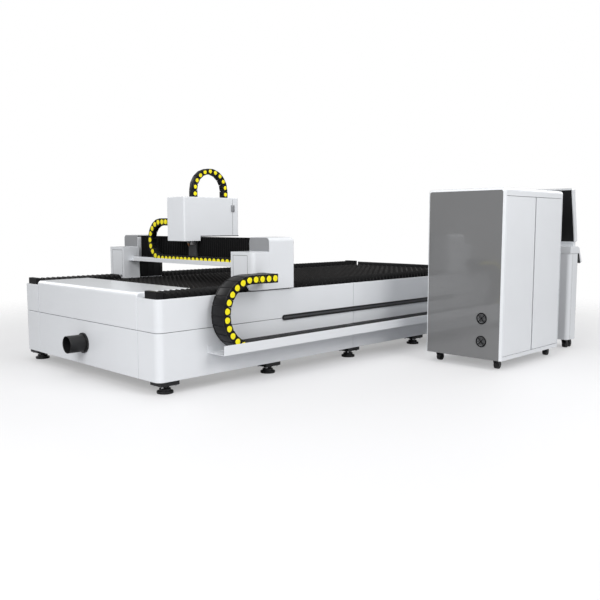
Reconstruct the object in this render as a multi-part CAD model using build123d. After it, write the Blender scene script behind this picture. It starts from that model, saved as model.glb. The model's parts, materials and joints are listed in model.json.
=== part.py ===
from build123d import *
import os
from math import atan2, cos, degrees, hypot, pi

# Flat-bed laser cutting machine: a bed with a slat table, a gantry that travels along it, a
# cutting head that travels across the gantry, three drag chains, a cabinet and a console.
# Millimetres. X runs along the bed from its exhaust end, Y across it, and Z up from the floor.
# Everything is drawn from the middle of the bed's front end, and is moved when it is written
# so that the origin lies on the floor under the middle of the whole set.

# Sizes shared by all pieces
overrun = 5.0
seat_gap = 0.3
running_gap = 0.05

# Bed panels
bed_length = 4770.0
bed_width = 2245.0
bed_top = 740.0
ground_gap = 100.0
panel_depth = 20.0
panel_corner_radius = 60.0
panel_gap = 4.0
panel_seam_height = 482.0
front_ledge_width = 37.5
side_seam_distance = 2270.0

# Front cover, folded over the front end of the table
cover_height = 780.0
cover_reach = 520.0
cover_wall = 12.0
cover_edge_radius = 35.0

# Rear panel, folded forward over the rear end of the table
rear_cover_reach = 110.0

# Exhaust spigot on the front panel
spigot_height = 287.0
spigot_radius = 75.0
spigot_length = 160.0
spigot_wall = 5.0
spigot_flange_radius = 88.0
spigot_flange_depth = 16.0

# Side trim bar
trim_start = 1300.0
trim_height = 487.0
trim_width = 48.0
trim_depth = 9.0
trim_slot_width = 16.0
trim_slot_depth = 4.0

# Levelling feet
foot_count = 5
foot_front_inset = 115.0
foot_rear_inset = 300.0
foot_side_inset = 85.0
foot_pad_radius = 65.0
foot_pad_depth = 18.0
foot_hub_radius = 46.0
foot_hub_depth = 20.0
foot_stud_radius = 20.0
foot_nut_width = 64.0
foot_nut_depth = 18.0
foot_plate_length = 170.0
foot_plate_width = 150.0
foot_plate_depth = 34.0

# Base frame
side_beam_width = 220.0
beam_wall = 12.0
rail_base = 700.0
kerb_width = 20.0
cross_tube_width = 120.0
cross_tube_depth = 140.0
cross_tube_count = 5
end_tube_depth = 80.0

# Slat table
slat_top = 760.0
slat_depth = 100.0
slat_thickness = 6.0
slat_pitch = 100.0
slat_tooth_count = 5
slat_tooth_depth = 22.0
slat_end_gap = 0.3
slat_ledge_depth = 15.0
slat_ledge_width = 40.0
slat_bar_width = 22.0
slat_bar_top = 745.0

# Guide rails, racks and their bellows
guide_inset = 122.5
rail_width = 26.0
rail_depth = 28.0
rack_width = 16.0
rack_depth = 26.0
rack_offset = 70.0
rail_end_cap_inset = 25.0
rail_end_cap_length = 48.0
rail_end_cap_height = 796.0
rail_end_cap_radius = 22.0
bellows_width = 190.0
bellows_height = 790.0
bellows_wall = 4.0
bellows_pleat = 24.0
bellows_side_pleat = 8.0
bellows_pitch = 76.0

# Long drag chain and its tray, on the right-hand side of the bed
x_chain_radius = 270.0
x_chain_bend_count = 12
x_chain_lower_count = 54
x_chain_upper_count = 4
x_chain_width = 158.0
x_chain_depth = 75.0
x_chain_bend_distance = 780.0
x_chain_side_gap = 45.0
x_chain_dot_radius = 27.0
x_tray_start = 470.0
x_tray_rear_gap = 70.0
x_tray_height = 279.0
x_tray_wall = 4.0
x_tray_lip = 80.0
x_tray_lip_gap = 5.0
x_tray_back_flange = 60.0

# Links of all drag chains
link_wall = 9.0
link_gap = 0.3
dot_rise = 3.0

# Gantry
gantry_overhang = 22.5
housing_start = 1130.0
housing_length = 307.0
housing_width = 255.0
housing_bottom = 750.0
housing_top = 1195.0
housing_wall = 5.0
housing_top_radius = 38.0
housing_side_radius = 24.0
motor_cover_length = 190.0
motor_cover_width = 285.0
motor_cover_top = 1072.0
motor_cover_radius = 40.0
motor_door_margin = 28.0
groove_width = 3.0
groove_depth = 2.0

gantry_beam_start = 1195.0
gantry_beam_depth = 195.0
gantry_beam_bottom = 930.0
gantry_beam_top = 1175.0
gantry_beam_wall = 10.0
column_end_gap = 15.0
column_width = 185.0
column_rear_gap = 17.0
column_wall = 20.0
saddle_bottom = 737.0
saddle_depth = 20.0
saddle_front_gap = 15.0
bearing_length = 90.0
bearing_width = 80.0
bearing_depth = 34.0
pinion_radius = 22.0
pinion_depth = 24.0
pinion_shaft_radius = 12.0
gearbox_radius = 45.0
gearbox_depth = 45.0
motor_width = 100.0
motor_height = 200.0

# Beam rails, bellows and tray on the front of the gantry beam
beam_rail_width = 20.0
beam_rail_depth = 16.0
beam_rail_edge = 70.0
beam_rail_top_edge = 30.0
beam_bellows_bottom = 962.0
beam_bellows_top = 1188.0
beam_bellows_depth = 29.0
beam_bellows_wall = 3.0
beam_bellows_pleat = 8.0
beam_bellows_pitch = 40.0
beam_tray_bottom = 934.0
beam_tray_lip = 40.0
beam_tray_wall = 4.0
beam_tray_gap = 6.0
beam_tray_mitre = 95.0

# Cross drag chain in the beam tray
y_chain_radius = 178.0
y_chain_bend_count = 9
y_chain_upper_count = 7
y_chain_width = 52.0
y_chain_depth = 72.0
y_chain_front = 1011.0
y_chain_bend_y = 300.0
y_chain_dot_radius = 23.0

# Carriage and lift slide on the front of the beam
head_centre_y = -27.5
carriage_y = -33.0
carriage_half_width = 60.0
carriage_plate_depth = 15.0
carriage_bottom = 966.0
carriage_top = 1190.0
carriage_block_depth = 22.0
carriage_deck_depth = 8.0
chain_bracket_depth = 10.0
slide_depth = 10.0
slide_half_width = 42.0
slide_bottom = 1112.0
slide_arm_depth = 12.0
clamp_depth = 30.0
clamp_width = 72.0
clamp_low = 1190.0
clamp_high = 1400.0
cutting_head_radius = 30.0
cutting_head_top = 1480.0
cutting_head_shoulder = 1160.0
cutting_head_neck_radius = 17.0
nozzle_top = 1125.0
nozzle_tip = 1095.0
nozzle_radius = 15.0
nozzle_tip_radius = 3.5
lift_motor_width = 60.0
lift_motor_height = 150.0
lift_motor_chamfer_share = 0.125

# Head cover
head_cover_front = 962.0
head_cover_length = 662.0
head_cover_width = 275.0
head_cover_bottom = 1150.0
head_cover_top = 1564.0
head_cover_wall = 4.0
head_cover_radius = 14.0
head_seam_rear_gap = 75.0
latch_width = 46.0
latch_height = 66.0
latch_depth = 10.0
latch_centre = 1461.0

# Lift drag chain above the head cover
z_chain_radius = 186.5
z_chain_bend_count = 9
z_chain_leg_count = 2
z_chain_width = 60.0
z_chain_depth = 56.0
z_chain_front = 1178.0
z_chain_centre_height = 1636.0
z_chain_y = -25.0
z_chain_dot_radius = 22.0
z_chain_slot_gap = 6.0

# Cabinet beside the bed
cabinet_start = 2670.0
cabinet_length = 1150.0
cabinet_width = 800.0
cabinet_side_gap = 575.0
cabinet_bottom = 90.0
cabinet_top = 1628.0
cabinet_wall = 28.0
cabinet_radius = 30.0
cabinet_rim = 22.0
side_panel_depth = 6.0
side_panel_radius = 22.0
door_edge = 32.0
door_gap = 4.0
door_depth = 24.0
door_middle_gap = 22.0
door_top_gap = 75.0
door_bottom_gap = 40.0
hinge_pin_radius = 4.0
hinge_pin_reach = 14.0
grille_radius = 52.0
grille_rim = 9.0
grille_depth = 5.0
grille_bar_width = 7.0
grille_bar_turns = (45, 135)
grille_front_distance = 200.0
grille_heights = (250.0, 460.0)
laser_length = 700.0
laser_depth = 560.0
laser_height = 330.0
laser_radius = 12.0

# Castors
castor_inset = 95.0
wheel_radius = 36.0
axle_radius = 6.0
castor_trail = 22.0
fork_wall = 5.0
fork_width = 52.0
fork_crown_radius = 32.0
fork_crown_depth = 9.0
fork_side_gap = 1.5

# Console beside the cabinet
console_front_gap = 425.0
console_depth = 210.0
console_width = 700.0
console_side_gap = 577.5
console_bottom = 90.0
console_column_top = 1000.0
console_corner_radius = 38.0
console_seam_distance = 60.0
console_castor_inset = 55.0
hood_gap = 3.0
hood_top = 1075.0
hood_shoulder_depth = 175.0
hood_slope_start = 215.0
hood_slope_drop = 15.0
hood_nose_reach = 285.0
hood_nose_height = 910.0
hood_nose_thickness = 26.0
neck_height = 38.0
neck_inset = 20.0
console_head_bottom_distance = 131.0
console_head_thickness = 60.0
console_head_height = 570.0
console_head_lean = 11.2
console_head_radius = 22.0
console_head_inset = 14.0
screen_margin_side = 70.0
screen_margin_low = 120.0
screen_margin_high = 60.0
screen_depth = 5.0
back_panel_margin = 12.0
back_panel_depth = 4.0
estop_radius = 20.0
estop_stem_radius = 11.0
estop_cap_depth = 14.0
estop_stem_rise = 12.0
estop_stem_seat = 8.0
estop_travel = 4.0
estop_bore_gap = 0.2
estop_edge = 70.0

# Places worked out from the sizes above
half_bed = bed_width / 2
half_gantry = half_bed + gantry_overhang
frame_outer = half_bed - panel_depth
frame_inner = frame_outer - side_beam_width
front_panel_width = 2 * (frame_inner - front_ledge_width)
rail_y = half_bed - guide_inset
rear_inside = bed_length - panel_depth
slat_frame_bottom = slat_top - slat_depth - slat_ledge_depth
slat_frame_outer = frame_inner - kerb_width / 2
slat_half_length = slat_frame_outer - slat_bar_width - slat_end_gap
housing_rear = housing_start + housing_length
housing_inner = half_gantry - housing_width
motor_cover_start = housing_start - motor_cover_length
column_inner = housing_inner + column_end_gap
gantry_beam_rear = gantry_beam_start + gantry_beam_depth
x_chain_pitch = pi * x_chain_radius / x_chain_bend_count
y_chain_pitch = pi * y_chain_radius / y_chain_bend_count
beam_tray_end = half_gantry - motor_cover_width
y_chain_lower_count = int((y_chain_bend_y + beam_tray_end - beam_tray_wall) // y_chain_pitch)
z_chain_pitch = pi * z_chain_radius / z_chain_bend_count
x_tray_floor = x_tray_height + x_tray_wall
x_chain_low = x_tray_floor + seat_gap + x_chain_depth / 2
x_chain_high = x_chain_low + 2 * x_chain_radius
x_chain_inner = -half_bed - x_chain_side_gap
x_chain_outer = x_chain_inner - x_chain_width
x_chain_end = x_chain_bend_distance + x_chain_upper_count * x_chain_pitch
y_chain_low = beam_tray_bottom + beam_tray_wall + seat_gap + y_chain_depth / 2
y_chain_high = y_chain_low + 2 * y_chain_radius
y_chain_back = y_chain_front + y_chain_width
y_chain_end = y_chain_bend_y - y_chain_upper_count * y_chain_pitch
carriage_back = gantry_beam_start - beam_bellows_depth
carriage_front = carriage_back - carriage_plate_depth
slide_back = carriage_front - seat_gap
slide_front = slide_back - slide_depth
head_cover_rear = head_cover_front + head_cover_length
head_cover_right = head_centre_y - head_cover_width / 2
head_cover_left = head_centre_y + head_cover_width / 2
deck_top = carriage_top + carriage_deck_depth
cutting_head_x = slide_front - cutting_head_radius
z_chain_rear = z_chain_front + 2 * z_chain_radius
z_chain_foot = z_chain_centre_height - z_chain_leg_count * z_chain_pitch + link_gap / 2
slide_arm_bottom = z_chain_foot - slide_arm_depth
beam_tray_front = y_chain_front - beam_tray_gap - beam_tray_wall
beam_tray_back = y_chain_back + beam_tray_wall
cabinet_rear = cabinet_start + cabinet_length
cabinet_back = -half_bed - cabinet_side_gap
cabinet_front = cabinet_back - cabinet_width
console_start = cabinet_rear + console_front_gap
console_back = console_start + console_depth
console_left = -half_bed - console_side_gap
console_right = console_left - console_width
set_centre_x = (bed_length - spigot_length) / 2
set_centre_y = (half_gantry + cabinet_front) / 2


# Shapes used by many pieces
def block(x0, x1, y0, y1, z0, z1):
    """Box between two limits on each axis, given in either order."""
    middle = Pos((x0 + x1) / 2, (y0 + y1) / 2, (z0 + z1) / 2)
    return middle * Box(abs(x1 - x0), abs(y1 - y0), abs(z1 - z0))


def prism_y(outline, y0, y1):
    """Prism of an outline in X and Z, from y0 to y1."""
    face = make_face(Polyline(*[(x, y0, z) for x, z in outline], close=True))
    return extrude(face, amount=y1 - y0, dir=(0, 1, 0))


def prism_x(outline, x0, x1):
    """Prism of an outline in Y and Z, from x0 to x1."""
    face = make_face(Polyline(*[(x0, y, z) for y, z in outline], close=True))
    return extrude(face, amount=x1 - x0, dir=(1, 0, 0))


def prism_z(outline, z0, z1):
    """Prism of an outline in X and Y, from z0 to z1."""
    face = make_face(Polyline(*[(x, y, z0) for x, y in outline], close=True))
    return extrude(face, amount=z1 - z0, dir=(0, 0, 1))


def upright(x, y, z0, z1, radius):
    """Upright cylinder from z0 to z1."""
    return Pos(x, y, (z0 + z1) / 2) * Cylinder(radius, z1 - z0)


def tube_block(x0, x1, y0, y1, z0, z1, wall, axis):
    """Square tube, open at both ends along one axis."""
    inset = {name: 0 if name == axis else wall for name in "xyz"}
    past = {name: overrun if name == axis else 0 for name in "xyz"}
    low_y, high_y = min(y0, y1), max(y0, y1)
    hollow = block(
        x0 + inset["x"] - past["x"], x1 - inset["x"] + past["x"],
        low_y + inset["y"] - past["y"], high_y - inset["y"] + past["y"],
        z0 + inset["z"] - past["z"], z1 - inset["z"] + past["z"])
    return block(x0, x1, y0, y1, z0, z1) - hollow


def round_uprights(solid, radius, end=None):
    """Rounds a block's upright edges: all of them, or those at its low or high end along X."""
    edges = solid.edges().filter_by(Axis.Z)
    if end is not None:
        edges = edges.group_by(Axis.X)[0 if end < 0 else -1]
    return fillet(edges, radius)


def both_sides(make):
    """The right-hand and the left-hand copy of a piece."""
    return [make(-1), make(1)]


# Bed panels
def skin_ring(z0, z1):
    """Upright wall round the whole bed, with rounded corners."""
    outer = RectangleRounded(bed_length, bed_width, panel_corner_radius)
    inner = RectangleRounded(
        bed_length - 2 * panel_depth, bed_width - 2 * panel_depth,
        panel_corner_radius - panel_depth)
    return Pos(bed_length / 2, 0, z0) * extrude(outer - inner, amount=z1 - z0)


def side_skins(side, z0, z1):
    """Front and rear length of one side's skin, each round its corner of the bed."""
    ring = skin_ring(z0, z1)
    inner = side * (front_panel_width + panel_gap) / 2
    outer = side * (half_bed + overrun)
    split = panel_gap / 2
    front = block(-overrun, side_seam_distance - split, inner, outer, z0, z1)
    rear = block(side_seam_distance + split, bed_length + overrun, inner, outer, z0, z1)
    return [ring & front, ring & rear]


def upper_skins(side):
    """Upper skins of one side, with the ledge beside the front cover."""
    z0 = panel_seam_height + panel_gap / 2
    front, rear = side_skins(side, z0, bed_top)
    inner = side * (front_panel_width + panel_gap) / 2
    ledge = block(0, cover_reach, inner, side * frame_inner, bed_top - panel_depth, bed_top)
    return [front + ledge, rear]


def lower_skins(side):
    """Lower skins of one side."""
    return side_skins(side, ground_gap, panel_seam_height - panel_gap / 2)


def front_cover():
    """Folded sheet: front face, rounded edge, top and a drop behind."""
    z0 = panel_seam_height + panel_gap / 2
    half = (front_panel_width - panel_gap) / 2
    outer = block(0, cover_reach, -half, half, z0, cover_height)
    front_edges = outer.edges().filter_by(Axis.Y).group_by(Axis.X)[0]
    outer = fillet(front_edges.group_by(Axis.Z)[-1], cover_edge_radius)
    side_edges = outer.edges().filter_by(Axis.X).group_by(Axis.Z)[-1]
    outer = fillet(side_edges, cover_wall)
    hollow = block(
        panel_depth, cover_reach - cover_wall, -half + cover_wall, half - cover_wall,
        z0 - overrun, cover_height - cover_wall)
    side_skirt = bed_top - panel_depth
    below = block(
        panel_depth, cover_reach + overrun, -half - overrun, half + overrun,
        z0 - overrun, side_skirt)
    return outer - hollow - below


def front_lower_panel():
    """Flat panel under the cover, with the hole that the exhaust spigot fits."""
    half = (front_panel_width - panel_gap) / 2
    plate = block(0, panel_depth, -half, half, ground_gap, panel_seam_height - panel_gap / 2)
    hole = Cylinder(spigot_radius + running_gap, 2 * panel_depth + overrun)
    return plate - Pos(0, 0, spigot_height) * Rot(0, 90, 0) * hole


def exhaust_spigot():
    """Round duct with a flange on the panel."""
    tube_length = spigot_length + panel_depth
    flange_x = -spigot_flange_depth / 2
    tube_x = (panel_depth - spigot_length) / 2
    body = Pos(tube_x, 0, 0) * Rot(0, 90, 0) * Cylinder(spigot_radius, tube_length)
    flange = Pos(flange_x, 0, 0) * Rot(0, 90, 0) * Cylinder(spigot_flange_radius, spigot_flange_depth)
    hollow = Rot(0, 90, 0) * Cylinder(spigot_radius - spigot_wall, 2 * tube_length)
    return Pos(0, 0, spigot_height) * (body + flange - hollow)


def rear_panel():
    """Rear wall, folded forward over the rear end of the table."""
    half = (front_panel_width - panel_gap) / 2
    wall = block(rear_inside, bed_length, -half, half, ground_gap, bed_top)
    top = block(bed_length - rear_cover_reach, bed_length, -half, half, bed_top - panel_depth, bed_top)
    return wall + top


def side_trim():
    """Long bar on the right-hand side with a slot along its middle and rounded ends."""
    trim_end = bed_length - panel_corner_radius
    length = trim_end - trim_start
    bar = extrude(SlotOverall(length, trim_width), amount=trim_depth)
    slot_length = length - trim_width + trim_slot_width
    slot = extrude(SlotOverall(slot_length, trim_slot_width), amount=trim_slot_depth)
    bar -= Pos(0, 0, trim_depth - trim_slot_depth) * slot
    return Pos((trim_start + trim_end) / 2, -half_bed, trim_height) * Rot(90, 0, 0) * bar


def levelling_foot(x, y):
    """Bracket plate, jam nut, stud, hub and round pad of one foot."""
    plate_bottom = ground_gap - foot_plate_depth
    plate = block(
        x - foot_plate_length / 2, x + foot_plate_length / 2,
        y - foot_plate_width / 2, y + foot_plate_width / 2, plate_bottom, ground_gap)
    nut = extrude(RegularPolygon(foot_nut_width / 2, 6, major_radius=False), amount=foot_nut_depth)
    foot = plate + Pos(x, y, plate_bottom - foot_nut_depth) * nut
    foot += upright(x, y, foot_pad_depth, plate_bottom, foot_stud_radius)
    foot += upright(x, y, foot_pad_depth, foot_pad_depth + foot_hub_depth, foot_hub_radius)
    return foot + upright(x, y, 0, foot_pad_depth, foot_pad_radius)


def levelling_feet():
    """Two rows of feet under the side beams."""
    row_y = half_bed - foot_side_inset
    pitch = (bed_length - foot_front_inset - foot_rear_inset) / (foot_count - 1)
    places = [foot_front_inset + number * pitch for number in range(foot_count)]
    return [levelling_foot(x, side * row_y) for side in (-1, 1) for x in places]


# Base frame and slat table
def side_beam(side):
    """Hollow side beam with a kerb along its inner edge."""
    beam = tube_block(
        panel_depth, rear_inside, side * frame_inner, side * frame_outer,
        ground_gap, rail_base, beam_wall, "x")
    kerb = block(
        panel_depth, rear_inside, side * frame_inner, side * (frame_inner + kerb_width),
        rail_base, bed_top)
    inside = RectangleRounded(
        bed_length - 2 * panel_depth, bed_width - 2 * panel_depth, panel_corner_radius)
    return (beam & Pos(bed_length / 2, 0, 0) * extrude(inside, amount=bed_top)) + kerb


def cross_tube(x0, z1, depth):
    """Square tube across the bed between the side beams."""
    return tube_block(
        x0, x0 + cross_tube_width, -frame_inner, frame_inner, z1 - depth, z1, beam_wall, "y")


def base_frame():
    """Side beams, the cross tubes under the table and one low tube at each end."""
    last = rear_inside - cross_tube_width
    step = (last - panel_depth) / (cross_tube_count - 1)
    tubes = [
        cross_tube(panel_depth + number * step, slat_frame_bottom, cross_tube_depth)
        for number in range(cross_tube_count)]
    low_top = ground_gap + end_tube_depth
    ends = [cross_tube(x, low_top, end_tube_depth) for x in (panel_depth, last)]
    return both_sides(side_beam) + tubes + ends


def slat_rail(side):
    """Angle bar that carries the slats' ends."""
    x0 = cover_reach
    x1 = bed_length - rear_cover_reach
    inner = slat_frame_outer - slat_bar_width
    outline = [
        (side * slat_frame_outer, slat_frame_bottom),
        (side * slat_frame_outer, slat_bar_top),
        (side * inner, slat_bar_top),
        (side * inner, slat_frame_bottom + slat_ledge_depth),
        (side * (inner - slat_ledge_width), slat_frame_bottom + slat_ledge_depth),
        (side * (inner - slat_ledge_width), slat_frame_bottom)]
    return prism_x(outline, x0, x1)


def slat_frame():
    """Two angle bars and the end bars between them."""
    inner = slat_frame_outer - slat_bar_width - slat_ledge_width
    x0 = cover_reach
    x1 = bed_length - rear_cover_reach
    bars = [
        block(x, x + slat_bar_width, -inner, inner, slat_frame_bottom, slat_bar_top)
        for x in (x0, x1 - slat_bar_width)]
    return both_sides(slat_rail) + bars


def slat(x):
    """One upright strip with a saw-tooth top edge."""
    tooth = 2 * slat_half_length / slat_tooth_count
    outline = [(-slat_half_length, slat_top - slat_depth)]
    for number in range(slat_tooth_count):
        start = -slat_half_length + number * tooth
        outline.append((start, slat_top - slat_tooth_depth))
        outline.append((start + tooth / 2, slat_top))
    outline.append((slat_half_length, slat_top - slat_tooth_depth))
    outline.append((slat_half_length, slat_top - slat_depth))
    return prism_x(outline, x - slat_thickness / 2, x + slat_thickness / 2)


def slats():
    """Row of slats along the table."""
    x0 = cover_reach + slat_bar_width
    x1 = bed_length - rear_cover_reach - slat_bar_width
    count = int((x1 - x0) // slat_pitch)
    step = (x1 - x0) / count
    return [slat(x0 + (number + 1 / 2) * step) for number in range(count)]


# Guides along the bed
def guide(side):
    """Rail of one side."""
    return block(
        panel_depth + overrun, rear_inside - overrun,
        side * (rail_y - rail_width / 2), side * (rail_y + rail_width / 2),
        rail_base, rail_base + rail_depth)


def rack(side):
    """Rack of one side, inside the bellows beside the rail."""
    middle = rail_y - rack_offset
    return block(
        panel_depth + overrun, rear_inside - overrun,
        side * (middle - rack_width / 2), side * (middle + rack_width / 2),
        rail_base, rail_base + rack_depth)


def rail_end_cap(side, front):
    """Hollow block that closes the bellows at one end of a rail."""
    x0 = rail_end_cap_inset if front else bed_length - rail_end_cap_inset - rail_end_cap_length
    x1 = x0 + rail_end_cap_length
    half = bellows_width / 2
    cap = block(x0, x1, side * (rail_y - half), side * (rail_y + half), rail_base, rail_end_cap_height)
    edges = cap.edges().filter_by(Axis.Z).group_by(Axis.X)[0 if front else -1]
    cap = fillet(edges, rail_end_cap_radius)
    inner = half - bellows_wall
    return cap - block(
        x0 - overrun, x1 + overrun, side * (rail_y - inner), side * (rail_y + inner),
        rail_base - overrun, rail_base + rail_depth + bellows_wall)


def zigzag(start, end, pitch, low, high):
    """Points of a pleated edge between two ends, as pairs of place and level."""
    count = max(1, round((end - start) / pitch))
    step = (end - start) / count
    points = [(start, low)]
    for number in range(count):
        points.append((start + (number + 1 / 2) * step, high))
        points.append((start + (number + 1) * step, low))
    return points


def rail_bellows(side, x0, x1):
    """Pleated cover over one rail: pleats across its top and down both its sides."""
    half = bellows_width / 2
    bottom = rail_base + seat_gap
    top_edge = zigzag(x0, x1, bellows_pitch, bellows_height - bellows_pleat, bellows_height)
    profile = top_edge + [(x1, bottom), (x0, bottom)]
    raised = prism_y(profile, side * rail_y - half, side * rail_y + half)
    side_edge = zigzag(x0, x1, bellows_pitch, half - bellows_side_pleat, half)
    plan = [(x, side * rail_y + y) for x, y in side_edge]
    plan += [(x, side * rail_y - y) for x, y in reversed(side_edge)]
    sides = prism_z(plan, bottom, bellows_height)
    inner = half - bellows_side_pleat - bellows_wall
    channel = block(
        x0 - overrun, x1 + overrun, side * rail_y - inner, side * rail_y + inner,
        bottom - overrun, bellows_height - bellows_pleat - bellows_wall)
    return (raised & sides) - channel


def front_bellows(side):
    """Bellows from the front end cap to the motor cover."""
    start = rail_end_cap_inset + rail_end_cap_length + seat_gap
    return rail_bellows(side, start, motor_cover_start - seat_gap)


def rear_bellows(side):
    """Bellows from the end housing to the rear end cap."""
    end = bed_length - rail_end_cap_inset - rail_end_cap_length - seat_gap
    return rail_bellows(side, housing_rear + seat_gap, end)


# Drag chains
def chain_link(inner_length, outer_length, width, depth, top, dot_radius):
    """Tubular link along X, outer side up, with the round cap of its pivot on the -Y side."""
    half = width / 2
    outline = [
        (-inner_length / 2, -depth / 2), (inner_length / 2, -depth / 2),
        (outer_length / 2, top), (-outer_length / 2, top)]
    link = prism_y(outline, -half, half)
    link -= Box(2 * outer_length, width - 2 * link_wall, depth - 2 * link_wall)
    if dot_radius:
        link += Pos(0, -half - dot_rise / 2, 0) * Rot(90, 0, 0) * Cylinder(dot_radius, dot_rise)
    return link


def chain_run(count, level, pitch, width, depth, dot_radius):
    """Straight run of links along +X from the bend's centre line."""
    length = pitch - link_gap
    link = chain_link(length, length, width, depth, depth / 2, dot_radius)
    return [Pos((number + 1 / 2) * pitch, 0, level) * link for number in range(count)]


def chain_bend(count, radius, pitch, width, depth, dot_radius):
    """Half turn of links that bulges to -X, round the origin."""
    length = pitch - link_gap
    inner = length * (radius - depth / 2) / radius
    outer = length * (radius + depth / 2) / radius
    top = (radius + depth / 2) * cos(pi / count / 2) - radius
    link = chain_link(inner, outer, width, depth, top, dot_radius)
    step = 180 / count
    return [
        Rot(0, -(number + 1 / 2) * step, 0) * Pos(0, 0, radius) * link
        for number in range(count)]


def place_all(place, pieces):
    """A list of pieces, each moved to the same place."""
    return [place * piece for piece in pieces]


x_chain_place = Pos(
    x_chain_bend_distance, (x_chain_inner + x_chain_outer) / 2, x_chain_low + x_chain_radius)
y_chain_place = Pos(
    (y_chain_front + y_chain_back) / 2, y_chain_bend_y, y_chain_low + y_chain_radius) * Rot(0, 0, -90)
z_chain_place = Pos(
    z_chain_front + z_chain_radius, z_chain_y, z_chain_centre_height) * Rot(0, 90, 0)


def x_chain_lower():
    """Run that lies in the side tray."""
    run = chain_run(
        x_chain_lower_count, -x_chain_radius, x_chain_pitch, x_chain_width, x_chain_depth, 0)
    return place_all(x_chain_place, run)


def x_chain_bend():
    """Half turn in front of the gantry."""
    bend = chain_bend(
        x_chain_bend_count, x_chain_radius, x_chain_pitch, x_chain_width, x_chain_depth,
        x_chain_dot_radius)
    return place_all(x_chain_place, bend)


def x_chain_upper():
    """Run to the gantry, and the fork that holds it to the motor cover."""
    run = chain_run(
        x_chain_upper_count, x_chain_radius, x_chain_pitch, x_chain_width, x_chain_depth,
        x_chain_dot_radius)
    half = x_chain_depth / 2
    plate = block(
        x_chain_end - x_chain_pitch, x_chain_end, x_chain_inner, -half_gantry,
        x_chain_high - half, x_chain_high + half)
    return place_all(x_chain_place, run) + [plate]


def x_chain_tray():
    """Folded tray along the right-hand side, with a lip outside."""
    x1 = bed_length - x_tray_rear_gap
    lip_inner = x_chain_outer - x_tray_lip_gap
    lip_outer = lip_inner - x_tray_wall
    outline = [
        (-half_bed, x_tray_height), (lip_outer, x_tray_height),
        (lip_outer, x_tray_height + x_tray_lip), (lip_inner, x_tray_height + x_tray_lip),
        (lip_inner, x_tray_floor), (-half_bed - x_tray_wall, x_tray_floor),
        (-half_bed - x_tray_wall, x_tray_height + x_tray_back_flange),
        (-half_bed, x_tray_height + x_tray_back_flange)]
    return prism_x(outline, x_tray_start, x1)


def y_chain_lower():
    """Run that lies in the beam tray."""
    run = chain_run(
        y_chain_lower_count, -y_chain_radius, y_chain_pitch, y_chain_width, y_chain_depth, 0)
    return place_all(y_chain_place, run)


def y_chain_bend():
    """Half turn to the left of the head."""
    bend = chain_bend(
        y_chain_bend_count, y_chain_radius, y_chain_pitch, y_chain_width, y_chain_depth,
        y_chain_dot_radius)
    return place_all(y_chain_place, bend)


def y_chain_upper():
    """Run into the head cover."""
    run = chain_run(
        y_chain_upper_count, y_chain_radius, y_chain_pitch, y_chain_width, y_chain_depth,
        y_chain_dot_radius)
    return place_all(y_chain_place, run)


def z_chain():
    """Arch of links above the head cover, with both its legs."""
    sizes = (z_chain_pitch, z_chain_width, z_chain_depth, z_chain_dot_radius)
    links = chain_bend(z_chain_bend_count, z_chain_radius, *sizes)
    for level in (-z_chain_radius, z_chain_radius):
        links += chain_run(z_chain_leg_count, level, *sizes)
    return place_all(z_chain_place, links)


# Gantry
def end_housing(side):
    """Tall cover over one end of the gantry, open below and where the beam and drive pass."""
    outer_y = side * half_gantry
    inner_y = side * housing_inner
    shell = block(housing_start, housing_rear, inner_y, outer_y, housing_bottom, housing_top)
    shell = round_uprights(shell, housing_side_radius, 1)
    crown = shell.edges().filter_by(Axis.X).group_by(Axis.Z)[-1]
    crown = crown.sort_by(Axis.Y)[-1 if side > 0 else 0]
    shell = fillet(crown, housing_top_radius)
    inside_radius = housing_side_radius - housing_wall
    for outer, top in ((housing_wall, housing_top_radius), (housing_top_radius, housing_wall)):
        hollow = block(
            housing_start + housing_wall, housing_rear - housing_wall,
            side * (housing_inner + housing_wall), side * (half_gantry - outer),
            housing_bottom - overrun, housing_top - top)
        shell -= round_uprights(hollow, inside_radius, 1)
    shell -= block(
        gantry_beam_start - seat_gap, gantry_beam_rear + seat_gap,
        side * (housing_inner - overrun), side * (housing_inner + housing_wall + overrun),
        gantry_beam_bottom - seat_gap, gantry_beam_top + seat_gap)
    return shell - block(
        housing_start - overrun, housing_start + housing_wall + overrun,
        side * (column_inner - housing_wall), side * (half_gantry - 2 * housing_wall),
        housing_bottom - overrun, motor_cover_top - housing_wall)


def motor_cover(side):
    """Cover over one drive motor, with the outline of its lift-off door on the front."""
    x0 = motor_cover_start
    inner = half_gantry - motor_cover_width
    shell = block(x0, housing_start, side * inner, side * half_gantry, housing_bottom, motor_cover_top)
    corner = shell.edges().filter_by(Axis.Z).group_by(Axis.X)[0]
    corner = corner.sort_by(Axis.Y)[-1 if side > 0 else 0]
    shell = fillet(corner, motor_cover_radius)
    hollow = block(
        x0 + housing_wall, housing_start + overrun,
        side * (inner + housing_wall), side * (half_gantry - 2 * housing_wall),
        housing_bottom - overrun, motor_cover_top - housing_wall)
    shell -= round_uprights(hollow, motor_cover_radius - housing_wall, -1)
    low = housing_bottom + motor_door_margin
    high = motor_cover_top - motor_door_margin
    near = inner + motor_door_margin
    far = half_gantry - motor_cover_radius - motor_door_margin
    ring = block(x0, x0 + groove_depth, side * near, side * far, low, high)
    ring -= block(
        x0 - overrun, x0 + groove_depth + overrun,
        side * (near + groove_width), side * (far - groove_width),
        low + groove_width, high - groove_width)
    return shell - ring


def gantry_column(side):
    """Hollow column under one end of the beam."""
    return tube_block(
        gantry_beam_start, housing_rear - column_rear_gap,
        side * column_inner, side * (column_inner + column_width),
        saddle_bottom + saddle_depth, gantry_beam_top, column_wall, "z")


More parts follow.
